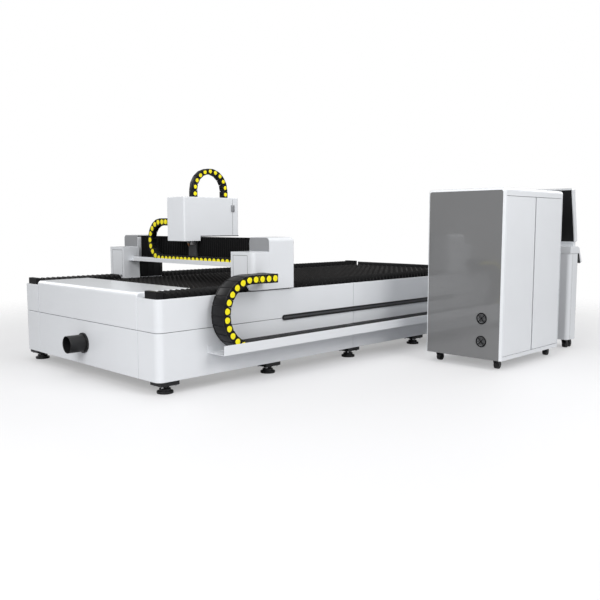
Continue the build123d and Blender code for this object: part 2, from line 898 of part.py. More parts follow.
def saddle(side):
    """Plate under one column, with the hole that the pinion's shaft passes."""
    plate = block(
        motor_cover_start + saddle_front_gap, housing_rear - column_rear_gap,
        side * (column_inner + kerb_width), side * (column_inner + column_width),
        saddle_bottom, saddle_bottom + saddle_depth)
    x, y = pinion_place(side)
    return plate - upright(
        x, y, saddle_bottom - overrun, saddle_bottom + saddle_depth + overrun,
        pinion_shaft_radius + seat_gap)


def pinion_place(side):
    """Middle of one side's pinion, beside the rack."""
    y = rail_y - rack_offset + rack_width / 2 + seat_gap + pinion_radius
    return (motor_cover_start + housing_start) / 2, side * y


def gantry_beam():
    """Hollow beam between the two columns, and the saddle under each."""
    beam = tube_block(
        gantry_beam_start, gantry_beam_rear, -column_inner, column_inner,
        gantry_beam_bottom, gantry_beam_top, gantry_beam_wall, "y")
    return [beam] + both_sides(gantry_column) + both_sides(saddle)


def bearing_block(x, side):
    """Block that runs on the rail of one side."""
    half = bearing_width / 2
    body = block(
        x, x + bearing_length, side * (rail_y - half), side * (rail_y + half),
        saddle_bottom - bearing_depth, saddle_bottom)
    slot_half = rail_width / 2 + seat_gap
    return body - block(
        x - overrun, x + bearing_length + overrun,
        side * (rail_y - slot_half), side * (rail_y + slot_half),
        rail_base - overrun, rail_base + rail_depth + seat_gap)


def drive(side):
    """Motor on its gearbox above the saddle, with the pinion at the rack below."""
    x, y = pinion_place(side)
    seat = saddle_bottom + saddle_depth
    half = motor_width / 2
    unit = upright(x, y, seat, seat + gearbox_depth, gearbox_radius)
    unit += block(
        x - half, x + half, y - half, y + half,
        seat + gearbox_depth, seat + gearbox_depth + motor_height)
    unit += upright(x, y, rail_base + pinion_depth, seat, pinion_shaft_radius)
    return unit + upright(x, y, rail_base + seat_gap, rail_base + pinion_depth, pinion_radius)


def x_drives():
    """Bearing blocks and drive of each side."""
    x0 = gantry_beam_start
    x1 = housing_rear - column_rear_gap - bearing_length
    blocks = [bearing_block(x, side) for side in (-1, 1) for x in (x0, x1)]
    return blocks + both_sides(drive)


def beam_rail(z):
    """Rail along the front of the beam."""
    end = housing_inner - seat_gap
    return block(
        gantry_beam_start - beam_rail_depth, gantry_beam_start, -end, end,
        z - beam_rail_width / 2, z + beam_rail_width / 2)


def beam_rail_heights():
    """Middle of the lower and of the upper rail."""
    return (gantry_beam_bottom + beam_rail_edge, gantry_beam_top - beam_rail_top_edge)


def beam_rails():
    """Both rails on the front of the beam."""
    return [beam_rail(z) for z in beam_rail_heights()]


def beam_bellows_length(y0, y1):
    """Pleated cover over the beam's rails between two places along the beam."""
    face = gantry_beam_start
    ridge = face - beam_bellows_depth
    front_edge = zigzag(y0, y1, beam_bellows_pitch, ridge + beam_bellows_pleat, ridge)
    plan = [(x, y) for y, x in front_edge] + [(face - seat_gap, y1), (face - seat_gap, y0)]
    cover = prism_z(plan, beam_bellows_bottom, beam_bellows_top)
    inner = beam_bellows_wall
    return cover - block(
        ridge + beam_bellows_pleat + inner, face + overrun, y0 - overrun, y1 + overrun,
        beam_bellows_bottom + inner, beam_bellows_top - inner)


def beam_bellows():
    """Bellows on each side of the carriage."""
    end = housing_inner - seat_gap
    right = carriage_y - carriage_half_width - seat_gap
    left = carriage_y + carriage_half_width + seat_gap
    return [beam_bellows_length(-end, right), beam_bellows_length(left, end)]


def beam_tray():
    """Folded tray for the cross chain, held at its ends by the motor covers."""
    wall = beam_tray_wall
    bottom = beam_tray_bottom
    lip_top = bottom + beam_tray_lip
    end = beam_tray_end
    tray = block(beam_tray_front, beam_tray_back, -end, end, bottom, lip_top)
    tray -= block(
        beam_tray_front + wall, beam_tray_back - wall, -end + wall, end + overrun,
        bottom + wall, lip_top + overrun)
    corner = [
        (beam_tray_front - overrun, end - beam_tray_mitre), (beam_tray_back - wall, end + overrun),
        (beam_tray_front - overrun, end + overrun)]
    return tray - prism_z(corner, bottom + wall, lip_top + overrun)


# Carriage and cutting head
def carriage_blocks():
    """Bearing blocks behind the carriage plate, one on each beam rail."""
    blocks = []
    for z in beam_rail_heights():
        half = beam_rail_width / 2 + carriage_block_depth
        body = block(
            carriage_back, gantry_beam_start - seat_gap,
            carriage_y - carriage_half_width, carriage_y + carriage_half_width,
            max(z - half, carriage_bottom), min(z + half, carriage_top))
        slot = beam_rail_width / 2 + seat_gap
        blocks.append(body - block(
            gantry_beam_start - beam_rail_depth - seat_gap, gantry_beam_start + overrun,
            carriage_y - carriage_half_width - overrun, carriage_y + carriage_half_width + overrun,
            z - slot, z + slot))
    return blocks


def carriage_plate():
    """Plate on the beam rails, with the deck above the beam and the stands of two chains."""
    plate = block(
        carriage_front, carriage_back, carriage_y - carriage_half_width,
        carriage_y + carriage_half_width, carriage_bottom, carriage_top)
    for piece in carriage_blocks():
        plate += piece
    deck = block(
        carriage_front, head_cover_rear, head_cover_right, head_cover_left, carriage_top, deck_top)
    notch_half = z_chain_width / 2 + z_chain_slot_gap
    deck -= block(
        carriage_front - overrun, z_chain_front + z_chain_depth / 2 + z_chain_slot_gap,
        z_chain_y - notch_half, z_chain_y + notch_half, carriage_top, deck_top + overrun)
    bracket_y = y_chain_end + link_gap / 2
    chain_top = y_chain_high + y_chain_depth / 2
    y_bracket = block(
        y_chain_front, carriage_back, bracket_y - chain_bracket_depth, bracket_y, deck_top, chain_top)
    z_stand = block(
        z_chain_rear - z_chain_depth / 2, z_chain_rear + z_chain_depth / 2,
        z_chain_y - z_chain_width / 2, z_chain_y + z_chain_width / 2, deck_top, z_chain_foot)
    return plate + deck + y_bracket + z_stand


def lift_motor():
    """Motor of the lift, on the carriage's deck inside the head cover."""
    x0 = z_chain_front + z_chain_depth
    half = lift_motor_width / 2
    body = block(
        x0, x0 + lift_motor_width, head_centre_y - half, head_centre_y + half,
        deck_top, deck_top + lift_motor_height)
    return chamfer(body.edges().filter_by(Axis.Z), lift_motor_width * lift_motor_chamfer_share)


def lift_slide():
    """Plate on the carriage's front, with clamps round the head and an arm to its chain."""
    slide = block(
        slide_front, slide_back, carriage_y - slide_half_width, carriage_y + slide_half_width,
        slide_bottom, z_chain_foot)
    slide += block(
        slide_front, z_chain_front + z_chain_depth / 2,
        z_chain_y - z_chain_width / 2, z_chain_y + z_chain_width / 2, slide_arm_bottom, z_chain_foot)
    for z in (clamp_low, clamp_high):
        slide += block(
            cutting_head_x, slide_front, carriage_y - clamp_width / 2, carriage_y + clamp_width / 2,
            z, z + clamp_depth)
    bore = upright(
        cutting_head_x, carriage_y, slide_bottom - overrun, z_chain_foot + overrun,
        cutting_head_radius + running_gap)
    return slide - bore


def cutting_head():
    """Turned body of the cutting head, down to the nozzle's seat."""
    r = cutting_head_radius
    neck = cutting_head_neck_radius
    outline = [
        (0, nozzle_top), (nozzle_radius, nozzle_top), (neck, cutting_head_shoulder - r),
        (r, cutting_head_shoulder), (r, cutting_head_top), (0, cutting_head_top)]
    face = make_face(Polyline(*[(x, 0, z) for x, z in outline], close=True))
    return Pos(cutting_head_x, carriage_y, 0) * revolve(face, Axis.Z)


def nozzle():
    """Conical nozzle with its bore."""
    outline = [
        (nozzle_tip_radius / 2, nozzle_tip), (nozzle_tip_radius, nozzle_tip),
        (nozzle_radius, nozzle_top - nozzle_tip_radius), (nozzle_radius, nozzle_top),
        (nozzle_tip_radius / 2, nozzle_top)]
    face = make_face(Polyline(*[(x, 0, z) for x, z in outline], close=True))
    return Pos(cutting_head_x, carriage_y, 0) * revolve(face, Axis.Z)


def head_cover():
    """Box cover over the head, open below, with slots for the two chains."""
    y0, y1 = head_cover_right, head_cover_left
    shell = block(head_cover_front, head_cover_rear, y0, y1, head_cover_bottom, head_cover_top)
    shell = round_uprights(shell, head_cover_radius)
    shell = fillet(shell.edges().group_by(Axis.Z)[-1], head_cover_radius / 2)
    hollow = block(
        head_cover_front + head_cover_wall, head_cover_rear - head_cover_wall,
        y0 + head_cover_wall, y1 - head_cover_wall,
        head_cover_bottom - overrun, head_cover_top - head_cover_wall)
    shell -= round_uprights(hollow, head_cover_radius - head_cover_wall)
    shell -= block(
        carriage_front - seat_gap, head_cover_rear + overrun, y0 - overrun, y1 + overrun,
        head_cover_bottom - overrun, deck_top)
    slot_top = y_chain_high + y_chain_depth / 2 + z_chain_slot_gap
    shell -= block(
        y_chain_front - dot_rise - z_chain_slot_gap, y_chain_back + z_chain_slot_gap,
        y1 - 2 * head_cover_wall, y1 + overrun, head_cover_bottom - overrun, slot_top)
    slot_x = z_chain_depth / 2 + z_chain_slot_gap
    slot_y = z_chain_width / 2 + z_chain_slot_gap
    for x in (z_chain_front, z_chain_rear):
        shell -= block(
            x - slot_x, x + slot_x, z_chain_y - slot_y, z_chain_y + slot_y,
            head_cover_top - 2 * head_cover_wall, head_cover_top + overrun)
    seam = head_cover_rear - head_seam_rear_gap
    return shell - block(
        seam - groove_width / 2, seam + groove_width / 2, y0 - overrun, y0 + groove_depth,
        deck_top, head_cover_top - head_cover_radius)


def head_latch():
    """Draw latch over the cover's seam."""
    seam = head_cover_rear - head_seam_rear_gap
    half = latch_width / 2
    z0 = latch_centre - latch_height / 2
    z1 = latch_centre + latch_height / 2
    y = head_cover_right
    base = block(seam - half, seam + half, y - latch_depth / 2, y, z0, z1)
    lever = block(
        seam - half / 2, seam + half / 2, y - latch_depth, y - latch_depth / 2,
        z0 + latch_depth, z1 - latch_depth)
    return base + lever


# Cabinet
door_z0 = cabinet_bottom + door_bottom_gap
door_z1 = cabinet_top - door_top_gap
door_x0 = cabinet_start + door_edge
door_x1 = cabinet_rear - door_edge
door_middle = (door_x0 + door_x1) / 2


def cabinet_shell():
    """Welded case, open at the front, with a shallow recess for each side panel."""
    case = block(cabinet_start, cabinet_rear, cabinet_front, cabinet_back, cabinet_bottom, cabinet_top)
    case = round_uprights(case, cabinet_radius)
    case = fillet(case.edges().group_by(Axis.Z)[-1], cabinet_radius)
    inside = cabinet_front + door_depth + door_gap
    case -= block(
        cabinet_start + cabinet_wall, cabinet_rear - cabinet_wall, inside, cabinet_back - cabinet_wall,
        cabinet_bottom + cabinet_wall, cabinet_top - cabinet_wall)
    case -= block(
        door_x0 - seat_gap, door_x1 + seat_gap, cabinet_front - overrun, inside + overrun,
        door_z0 - door_gap, door_z1 + door_gap)
    for side in (-1, 1):
        case -= side_panel(side, overrun)
    for z in grille_heights:
        case -= fan_hole(z, cabinet_wall + overrun)
    for left_end in (True, False):
        case -= hinge_pin(left_end, hinge_pin_radius + running_gap, hinge_pin_reach + running_gap)
    return case


def side_panel(side, extra):
    """Plate in one end wall, round at its upper corners; the extra depth makes its recess."""
    face_x = cabinet_start if side < 0 else cabinet_rear
    plate = block(
        face_x - side * side_panel_depth, face_x + side * extra,
        cabinet_front + cabinet_rim, cabinet_back - cabinet_rim,
        cabinet_bottom - extra, cabinet_top - cabinet_rim)
    upper_corners = plate.edges().filter_by(Axis.X).group_by(Axis.Z)[-1]
    return fillet(upper_corners, side_panel_radius)


def fan_hole(z, depth):
    """Round hole behind one grille, as deep as given from the case's front end."""
    place = Pos(cabinet_start, cabinet_front + grille_front_distance, z)
    return place * Rot(0, 90, 0) * Cylinder(grille_radius - grille_rim, 2 * depth)


def cabinet_side_panels():
    """Front-facing side panel with holes for the grilles, and the plain one opposite."""
    pierced = side_panel(-1, 0)
    for z in grille_heights:
        pierced -= fan_hole(z, side_panel_depth + overrun)
    return [pierced, side_panel(1, 0)]


def fan_grille(z):
    """Rim with crossed bars over one fan opening."""
    disc = Cylinder(grille_radius, grille_depth) - Cylinder(grille_radius - grille_rim, 2 * grille_depth)
    for turn in grille_bar_turns:
        disc += Rot(0, 0, turn) * Box(2 * grille_radius - grille_rim, grille_bar_width, grille_depth)
    x = cabinet_start - grille_depth / 2
    return Pos(x, cabinet_front + grille_front_distance, z) * Rot(0, 90, 0) * disc


def fan_grilles():
    """Grilles of both fans."""
    return [fan_grille(z) for z in grille_heights]


def hinge_place(left_end):
    """Axis of one door, in the middle of its rounded edge."""
    inset = door_depth / 2
    x = door_x0 + inset if left_end else door_x1 - inset
    return x, cabinet_front + inset


def hinge_pin(left_end, radius, reach):
    """Pin on one door's axis, out of its top and its bottom by the reach."""
    x, y = hinge_place(left_end)
    return upright(x, y, door_z0 - reach, door_z1 + reach, radius)


def door(left_end):
    """Flat door with a rounded hinge edge and its pins, up to the middle groove."""
    middle = door_middle - door_middle_gap / 2 if left_end else door_middle + door_middle_gap / 2
    x, y = hinge_place(left_end)
    leaf = block(x, middle, cabinet_front, cabinet_front + door_depth, door_z0, door_z1)
    leaf += upright(x, y, door_z0, door_z1, door_depth / 2)
    return leaf + hinge_pin(left_end, hinge_pin_radius, hinge_pin_reach)


def laser_source():
    """Laser source, standing on the cabinet's floor."""
    middle_x = (cabinet_start + cabinet_rear) / 2
    middle_y = (cabinet_front + cabinet_back) / 2
    z0 = cabinet_bottom + cabinet_wall
    body = block(
        middle_x - laser_length / 2, middle_x + laser_length / 2,
        middle_y - laser_depth / 2, middle_y + laser_depth / 2, z0, z0 + laser_height)
    return round_uprights(body, laser_radius)


# Castors
def castor_places(x0, x1, y0, y1, inset):
    """Swivel points under the four corners of a case."""
    return [(x, y) for x in (x0 + inset, x1 - inset) for y in (y0 + inset, y1 - inset)]


def castor_fork(x, y, top):
    """Crown, two cheeks and the axle of one castor, trailing towards +X."""
    axle_x = x + castor_trail
    cheek = fork_width / 2
    crown = upright(x, y, top - fork_crown_depth, top - seat_gap, fork_crown_radius)
    fork = crown
    for side in (-1, 1):
        outline = [
            (x - fork_crown_radius / 2, top - fork_crown_depth),
            (axle_x - 2 * axle_radius, wheel_radius - 2 * axle_radius),
            (axle_x + 2 * axle_radius, wheel_radius - 2 * axle_radius),
            (x + fork_crown_radius, top - fork_crown_depth)]
        y0 = y + side * cheek
        y1 = y + side * (cheek - fork_wall)
        fork += prism_y(outline, min(y0, y1), max(y0, y1))
    return fork + Pos(axle_x, y, wheel_radius) * Rot(90, 0, 0) * Cylinder(axle_radius, fork_width)


def castor_wheel(x, y):
    """Wheel with the bore for its axle."""
    width = fork_width - 2 * fork_wall - 2 * fork_side_gap
    rim = Cylinder(wheel_radius, width) - Cylinder(axle_radius + running_gap, 2 * width)
    return Pos(x + castor_trail, y, wheel_radius) * Rot(90, 0, 0) * rim


cabinet_castors = castor_places(
    cabinet_start, cabinet_rear, cabinet_front, cabinet_back, castor_inset)


# Console
hood_outline = [
    (console_start, console_column_top + hood_gap),
    (console_start, hood_top),
    (console_start + hood_shoulder_depth, hood_top),
    (console_start + hood_slope_start, hood_top - hood_slope_drop),
    (console_start + hood_nose_reach, hood_nose_height),
    (console_start + hood_nose_reach - hood_nose_thickness, hood_nose_height - hood_nose_thickness / 2),
    (console_back + hood_gap, console_column_top + hood_gap)]


def console_body():
    """Column with rounded corners, the shadow gap, and the sloped desk above it."""
    column = block(
        console_start, console_back, console_right, console_left, console_bottom, console_column_top)
    column = round_uprights(column, console_corner_radius)
    seam = console_start + console_seam_distance
    column -= block(
        seam - groove_width / 2, seam + groove_width / 2,
        console_right - overrun, console_right + groove_depth, console_bottom, console_column_top)
    inset = console_corner_radius / 2
    core = block(
        console_start + inset, console_back - inset, console_right + inset, console_left - inset,
        console_column_top, console_column_top + hood_gap)
    return column + core + prism_y(hood_outline, console_right, console_left) - estop_bore()


head_bottom_x = console_start + console_head_bottom_distance
head_place = Pos(head_bottom_x, (console_right + console_left) / 2, hood_top + neck_height) * Rot(
    0, -console_head_lean, 0)


def console_head():
    """Leaning slab for the screen, on a low neck."""
    width = console_width - 2 * console_head_inset
    thick = console_head_thickness
    slab = Pos(thick / 2, 0, console_head_height / 2) * Box(thick, width, console_head_height)
    slab = fillet(slab.edges().filter_by(Axis.X), console_head_radius)
    screen = Pos(thick, 0, 0) * screen_block(screen_depth + seat_gap)
    back = Box(
        2 * back_panel_depth, width - 2 * back_panel_margin, console_head_height - 2 * back_panel_margin)
    slab -= screen
    slab -= Pos(0, 0, console_head_height / 2) * back
    neck_half = width / 2 - neck_inset
    middle_y = (console_right + console_left) / 2
    neck = block(
        head_bottom_x + 2 * back_panel_depth, head_bottom_x + thick - back_panel_depth,
        middle_y - neck_half, middle_y + neck_half,
        hood_top, hood_top + neck_height + console_head_radius)
    return head_place * slab + neck


def screen_block(depth):
    """Plate of the screen's size, let into the face at x = 0."""
    half = (console_width - 2 * console_head_inset) / 2 - screen_margin_side
    return block(-depth, 0, -half, half, screen_margin_low, console_head_height - screen_margin_high)


def console_screen():
    """Screen glass in the operator's side of the head."""
    return head_place * Pos(console_head_thickness, 0, 0) * screen_block(screen_depth)


def console_back_panel():
    """Dark panel in the back of the head."""
    width = console_width - 2 * console_head_inset - 2 * back_panel_margin - 2 * seat_gap
    height = console_head_height - 2 * back_panel_margin - 2 * seat_gap
    plate = Box(back_panel_depth, width, height)
    return head_place * Pos(back_panel_depth / 2, 0, console_head_height / 2) * plate


def console_castors():
    """Four fixed castors under the column."""
    pieces = []
    rear = console_back - castor_trail
    for x, y in castor_places(console_start, rear, console_right, console_left, console_castor_inset):
        pieces.append(castor_fork(x, y, console_bottom))
        pieces.append(castor_wheel(x, y))
    return pieces


slope_x0, slope_z0 = hood_outline[3]
slope_x1, slope_z1 = hood_outline[4]
slope_length = hypot(slope_x1 - slope_x0, slope_z1 - slope_z0)
slope_normal = ((slope_z0 - slope_z1) / slope_length, (slope_x1 - slope_x0) / slope_length)
slope_turn = degrees(atan2(slope_normal[0], slope_normal[1]))
estop_place = Pos(
    (slope_x0 + slope_x1) / 2, console_right + estop_edge, (slope_z0 + slope_z1) / 2) * Rot(0, slope_turn, 0)


def console_estop():
    """Mushroom button whose stem runs in the sloped desk."""
    stem = upright(0, 0, -estop_stem_seat, estop_stem_rise, estop_stem_radius)
    cap = upright(0, 0, estop_stem_rise, estop_stem_rise + estop_cap_depth, estop_radius)
    return estop_place * (stem + cap)


def estop_bore():
    """Bore in the desk, as deep as the pressed stem goes."""
    floor = -estop_stem_seat - estop_travel - estop_bore_gap
    return estop_place * upright(0, 0, floor, overrun, estop_stem_radius + estop_bore_gap)


# Writing the pieces
def pieces():
    """Every node's name with its solids."""
    nodes = {
        "base_frame": base_frame(),
        "front_cover": front_cover(),
        "front_lower_panel": front_lower_panel(),
        "right_upper_skins": upper_skins(-1),
        "right_lower_skins": lower_skins(-1),
        "left_skins": upper_skins(1) + lower_skins(1),
        "rear_panel": rear_panel(),
        "exhaust_spigot": exhaust_spigot(),
        "side_trim": side_trim(),
        "levelling_feet": levelling_feet(),
        "x_rails": both_sides(guide) + both_sides(rack),
        "rail_bellows_front": both_sides(front_bellows),
        "rail_bellows_rear": both_sides(rear_bellows),
        "rail_end_caps": [rail_end_cap(side, front) for side in (-1, 1) for front in (True, False)],
        "slat_frame": slat_frame(),
        "slats": slats(),
        "x_chain_tray": x_chain_tray(),
        "x_chain_lower": x_chain_lower(),
        "x_chain_bend": x_chain_bend(),
        "x_chain_upper": x_chain_upper(),
        "gantry_beam": gantry_beam(),
        "right_end_housing": end_housing(-1),
        "left_end_housing": end_housing(1),
        "right_motor_cover": motor_cover(-1),
        "left_motor_cover": motor_cover(1),
        "x_drives": x_drives(),
        "beam_rails": beam_rails(),
        "beam_bellows": beam_bellows(),
        "beam_tray": beam_tray(),
        "y_chain_lower": y_chain_lower(),
        "y_chain_bend": y_chain_bend(),
        "y_chain_upper": y_chain_upper(),
        "carriage_plate": carriage_plate(),
        "lift_motor": lift_motor(),
        "head_cover": head_cover(),
        "head_latch": head_latch(),
        "z_chain": z_chain(),
        "lift_slide": lift_slide(),
        "cutting_head": cutting_head(),
        "nozzle": nozzle(),
        "cabinet_shell": cabinet_shell(),
        "cabinet_side_panels": cabinet_side_panels(),
        "fan_grilles": fan_grilles(),
        "left_door": door(True),
        "right_door": door(False),
        "laser_source": laser_source(),
        "console_body": console_body(),
        "console_head": console_head(),
        "console_screen": console_screen(),
        "console_back_panel": console_back_panel(),
        "console_castors": console_castors(),
        "console_estop": console_estop(),
    }
    for number, (x, y) in enumerate(cabinet_castors, 1):
        nodes[f"castor_fork_{number}"] = castor_fork(x, y, cabinet_bottom)
        nodes[f"castor_wheel_{number}"] = castor_wheel(x, y)
    return nodes


def write(name, shapes):
    """Move a node's solids under the set's origin and write them."""
    listed = shapes if isinstance(shapes, list) else [shapes]
    place = Pos(-set_centre_x, -set_centre_y, 0)
    solids = [place * solid for shape in listed for solid in shape.solids()]
    export_step(Compound(label=name, children=solids), f"parts/{name}.step")


os.makedirs("parts", exist_ok=True)
for node_name, node_shapes in pieces().items():
    write(node_name, node_shapes)
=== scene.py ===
import json
from itertools import product
from math import ceil, cos, pi, radians, sin

import bmesh
import bpy
import numpy as np
from mathutils import Matrix, Vector


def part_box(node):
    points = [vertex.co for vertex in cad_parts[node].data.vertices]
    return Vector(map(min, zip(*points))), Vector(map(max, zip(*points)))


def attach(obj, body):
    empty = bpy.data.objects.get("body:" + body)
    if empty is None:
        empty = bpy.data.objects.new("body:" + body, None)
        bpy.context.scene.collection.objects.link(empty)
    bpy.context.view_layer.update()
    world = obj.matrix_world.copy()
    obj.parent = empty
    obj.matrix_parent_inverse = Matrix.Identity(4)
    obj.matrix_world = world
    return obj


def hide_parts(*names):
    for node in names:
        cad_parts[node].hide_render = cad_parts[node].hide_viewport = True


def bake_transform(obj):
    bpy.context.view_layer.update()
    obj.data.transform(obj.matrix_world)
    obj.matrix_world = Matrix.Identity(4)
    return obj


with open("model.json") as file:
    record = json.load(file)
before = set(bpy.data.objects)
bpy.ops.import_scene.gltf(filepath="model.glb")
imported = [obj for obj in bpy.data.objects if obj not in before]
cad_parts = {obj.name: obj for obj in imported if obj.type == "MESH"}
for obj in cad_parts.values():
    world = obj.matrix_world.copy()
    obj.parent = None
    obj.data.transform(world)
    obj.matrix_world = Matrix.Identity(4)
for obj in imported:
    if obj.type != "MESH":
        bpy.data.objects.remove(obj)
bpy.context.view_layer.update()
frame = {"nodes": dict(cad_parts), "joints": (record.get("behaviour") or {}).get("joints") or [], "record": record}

bl_info = {
    "name": "Flat-bed laser cutter dressing",
    "version": (1, 0, 0),
    "blender": (4, 5, 0),
    "location": "View3D > Sidebar > Laser cutter",
    "description": "Finishes, drag chains, bellows and small fittings for the laser cutting machine",
    "category": "Object",
}

NODES = frame["nodes"]
JOINTS = {joint["name"]: joint for joint in frame["joints"]}


# Places read from the frame
def low(node):
    """Lowest corner of a CAD node."""
    return Vector(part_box(node)[0])


def high(node):
    """Highest corner of a CAD node."""
    return Vector(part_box(node)[1])


def middle(node):
    """Middle of a CAD node's box."""
    return (low(node) + high(node)) / 2


def span(node):
    """Size of a CAD node's box."""
    return high(node) - low(node)


# What a user would change
class CutterColours(bpy.types.PropertyGroup):
    """Colours of the machine's finishes."""

    white: bpy.props.FloatVectorProperty(
        name="Panel white", description="Powder coat on the panels", subtype="COLOR",
        default=(0.79, 0.81, 0.84), min=0, max=1)
    grey: bpy.props.FloatVectorProperty(
        name="Side panel grey", description="Gloss enamel on the cabinet's sides",
        subtype="COLOR", default=(0.19, 0.192, 0.195), min=0, max=1)
    frame_grey: bpy.props.FloatVectorProperty(
        name="Frame grey", description="Paint of the beams behind the panels",
        subtype="COLOR", default=(0.06, 0.062, 0.066), min=0, max=1)
    black: bpy.props.FloatVectorProperty(
        name="Chain black", description="Moulded plastic of the drag chains",
        subtype="COLOR", default=(0.006, 0.006, 0.007), min=0, max=1)
    cloth: bpy.props.FloatVectorProperty(
        name="Bellows black", description="Coated cloth of the bellows",
        subtype="COLOR", default=(0.004, 0.004, 0.0045), min=0, max=1)
    yellow: bpy.props.FloatVectorProperty(
        name="Cap yellow", description="Round caps on the chains' pivots",
        subtype="COLOR", default=(0.96, 0.84, 0.004), min=0, max=1)
    steel: bpy.props.FloatVectorProperty(
        name="Bright steel", description="Ground and turned steel",
        subtype="COLOR", default=(0.58, 0.59, 0.61), min=0, max=1)
    slat: bpy.props.FloatVectorProperty(
        name="Slat steel", description="Mill scale on the slats",
        subtype="COLOR", default=(0.022, 0.021, 0.021), min=0, max=1)


class CutterSizes(bpy.types.PropertyGroup):
    """Sizes of the added fittings."""

    edge: bpy.props.FloatProperty(
        name="Panel edge", description="Rounding of the folded panels' edges",
        default=0.003, min=0, unit="LENGTH")
    small_edge: bpy.props.FloatProperty(
        name="Small edge", description="Rounding of machined and moulded edges",
        default=0.0015, min=0, unit="LENGTH")
    x_links: bpy.props.IntProperty(
        name="Long chain turn", description="Links in the long chain's half turn", default=12, min=3)
    y_links: bpy.props.IntProperty(
        name="Cross chain turn", description="Links in the cross chain's half turn", default=9, min=3)
    z_links: bpy.props.IntProperty(
        name="Lift chain turn", description="Links in the lift chain's half turn", default=9, min=3)
    cap_share: bpy.props.FloatProperty(
        name="Cap share", description="Cap's diameter as a share of the link's height",
        default=0.68, min=0.1, max=1)
    rail_bellows_width: bpy.props.FloatProperty(
        name="Rail bellows width", description="Width over the pleats of one rail's bellows",
        default=0.19, unit="LENGTH")
    rail_pleat: bpy.props.FloatProperty(
        name="Rail pleat", description="Length of one pleat of the rail bellows at rest",
        default=0.054, unit="LENGTH")
    beam_pleat: bpy.props.FloatProperty(
        name="Beam pleat", description="Length of one pleat of the beam bellows at rest",
        default=0.030, unit="LENGTH")
    slat_count: bpy.props.IntProperty(
        name="Slats", description="Slats along the table", default=40, min=1)
    slat_teeth: bpy.props.IntProperty(
        name="Slat teeth", description="Teeth along one slat", default=22, min=1)


class CutterStage(bpy.types.PropertyGroup):
    """Camera and light."""

    camera_place: bpy.props.FloatVectorProperty(
        name="Camera place", description="Where the camera stands, in the machine's frame",
        subtype="TRANSLATION", default=(-5.315, -4.91875, 1.30))
    camera_turn: bpy.props.FloatProperty(
        name="Camera turn", description="Direction of the view in plan, from +X towards +Y",
        subtype="ANGLE", default=radians(44.6))
    camera_drop: bpy.props.FloatProperty(
        name="Camera drop", description="How far the view points down", subtype="ANGLE",
        default=radians(6.03))
    lens: bpy.props.FloatProperty(
        name="Lens", description="Focal length in millimetres", default=42.6, min=1)
    front: bpy.props.FloatProperty(
        name="Front light", description="Power of the soft light before the bed's end in watts",
        default=345.0, min=0)
    side: bpy.props.FloatProperty(
        name="Side light", description="Power of the soft light beside the cabinet in watts",
        default=292.0, min=0)
    top: bpy.props.FloatProperty(
        name="Top light", description="Power of the soft light overhead in watts",
        default=130.0, min=0)
    back: bpy.props.FloatProperty(
        name="Back light", description="Power of each soft light behind the machine in watts",
        default=170.0, min=0)
    sky: bpy.props.FloatProperty(
        name="Room light", description="Strength of the even light from all round",
        default=0.33, min=0)
    floor_glow: bpy.props.FloatProperty(
        name="Floor glow", description="How much the floor is lifted towards white for the eye",
        default=0.33, min=0)


# Shader helpers
def add_node(tree, kind, settings=None, terms=(), **values):
    """A new node: its settings, then its inputs in order, then its inputs by name.

    An input is given a value, or the socket that feeds it.
    """
    node = tree.nodes.new(kind)
    for name, value in (settings or {}).items():
        setattr(node, name, value)
    fed = list(zip(node.inputs, terms))
    fed += [(node.inputs[name.replace("_", " ")], value) for name, value in values.items()]
    for socket, value in fed:
        if isinstance(value, bpy.types.NodeSocket):
            tree.links.new(value, socket)
        else:
            socket.default_value = value
    return node


def calc(tree, operation, *terms, **settings):
    """Result of a math node on numbers or sockets."""
    return add_node(tree, "ShaderNodeMath", {"operation": operation, **settings}, terms).outputs[0]


def noise(tree, place, **values):
    """Strength of a noise at a place."""
    return add_node(tree, "ShaderNodeTexNoise", Vector=place, **values).outputs["Fac"]


def object_place(tree):
    """Place on the object."""
    return tree.nodes.new("ShaderNodeTexCoord").outputs["Object"]


def new_group(name, inputs, outputs):
    """An empty shader group with its sockets: inputs with their defaults, outputs by name.

    Returns the group, what its input node gives and what its output node takes.
    """
    tree = bpy.data.node_groups.new(name, "ShaderNodeTree")
    tuples = {4: "NodeSocketColor", 3: "NodeSocketVector"}
    for label, value in inputs.items():
        kind = tuples[len(value)] if isinstance(value, tuple) else "NodeSocketFloat"
        tree.interface.new_socket(label, in_out="INPUT", socket_type=kind).default_value = value
    for label in outputs:
        kind = "NodeSocketColor" if label == "Color" else "NodeSocketFloat"
        tree.interface.new_socket(label, in_out="OUTPUT", socket_type=kind)
    return tree, tree.nodes.new("NodeGroupInput").outputs, tree.nodes.new("NodeGroupOutput").inputs


def surface_drift_group():
    """Colour and roughness that wander a little over the surface."""
    tree, given, result = new_group(
        "surface_drift",
        {"Color": (0.8, 0.8, 0.8, 1), "Roughness": 0.4, "Scale": 4.0, "Amount": 0.05},
        ("Color", "Roughness"))
    patches = noise(tree, object_place(tree), Scale=given["Scale"], Detail=5.0, Roughness=0.6)
    swing = calc(tree, "MULTIPLY_ADD", patches, 2.0, -1.0)
    lift = calc(tree, "ADD", calc(tree, "MULTIPLY", swing, given["Amount"]), 1.0)
    tint = add_node(
        tree, "ShaderNodeVectorMath", {"operation": "SCALE"}, (given["Color"],), Scale=lift)
    tree.links.new(tint.outputs[0], result["Color"])
    tree.links.new(calc(tree, "MULTIPLY", given["Roughness"], lift), result["Roughness"])
    return tree


def fine_grain_group():
    """Height of a fine even grain, for bump."""
    tree, given, result = new_group("fine_grain", {"Scale": 400.0}, ("Height",))
    grain = noise(tree, object_place(tree), Scale=given["Scale"], Detail=2.0, Roughness=0.5)
    tree.links.new(grain, result["Height"])
    return tree


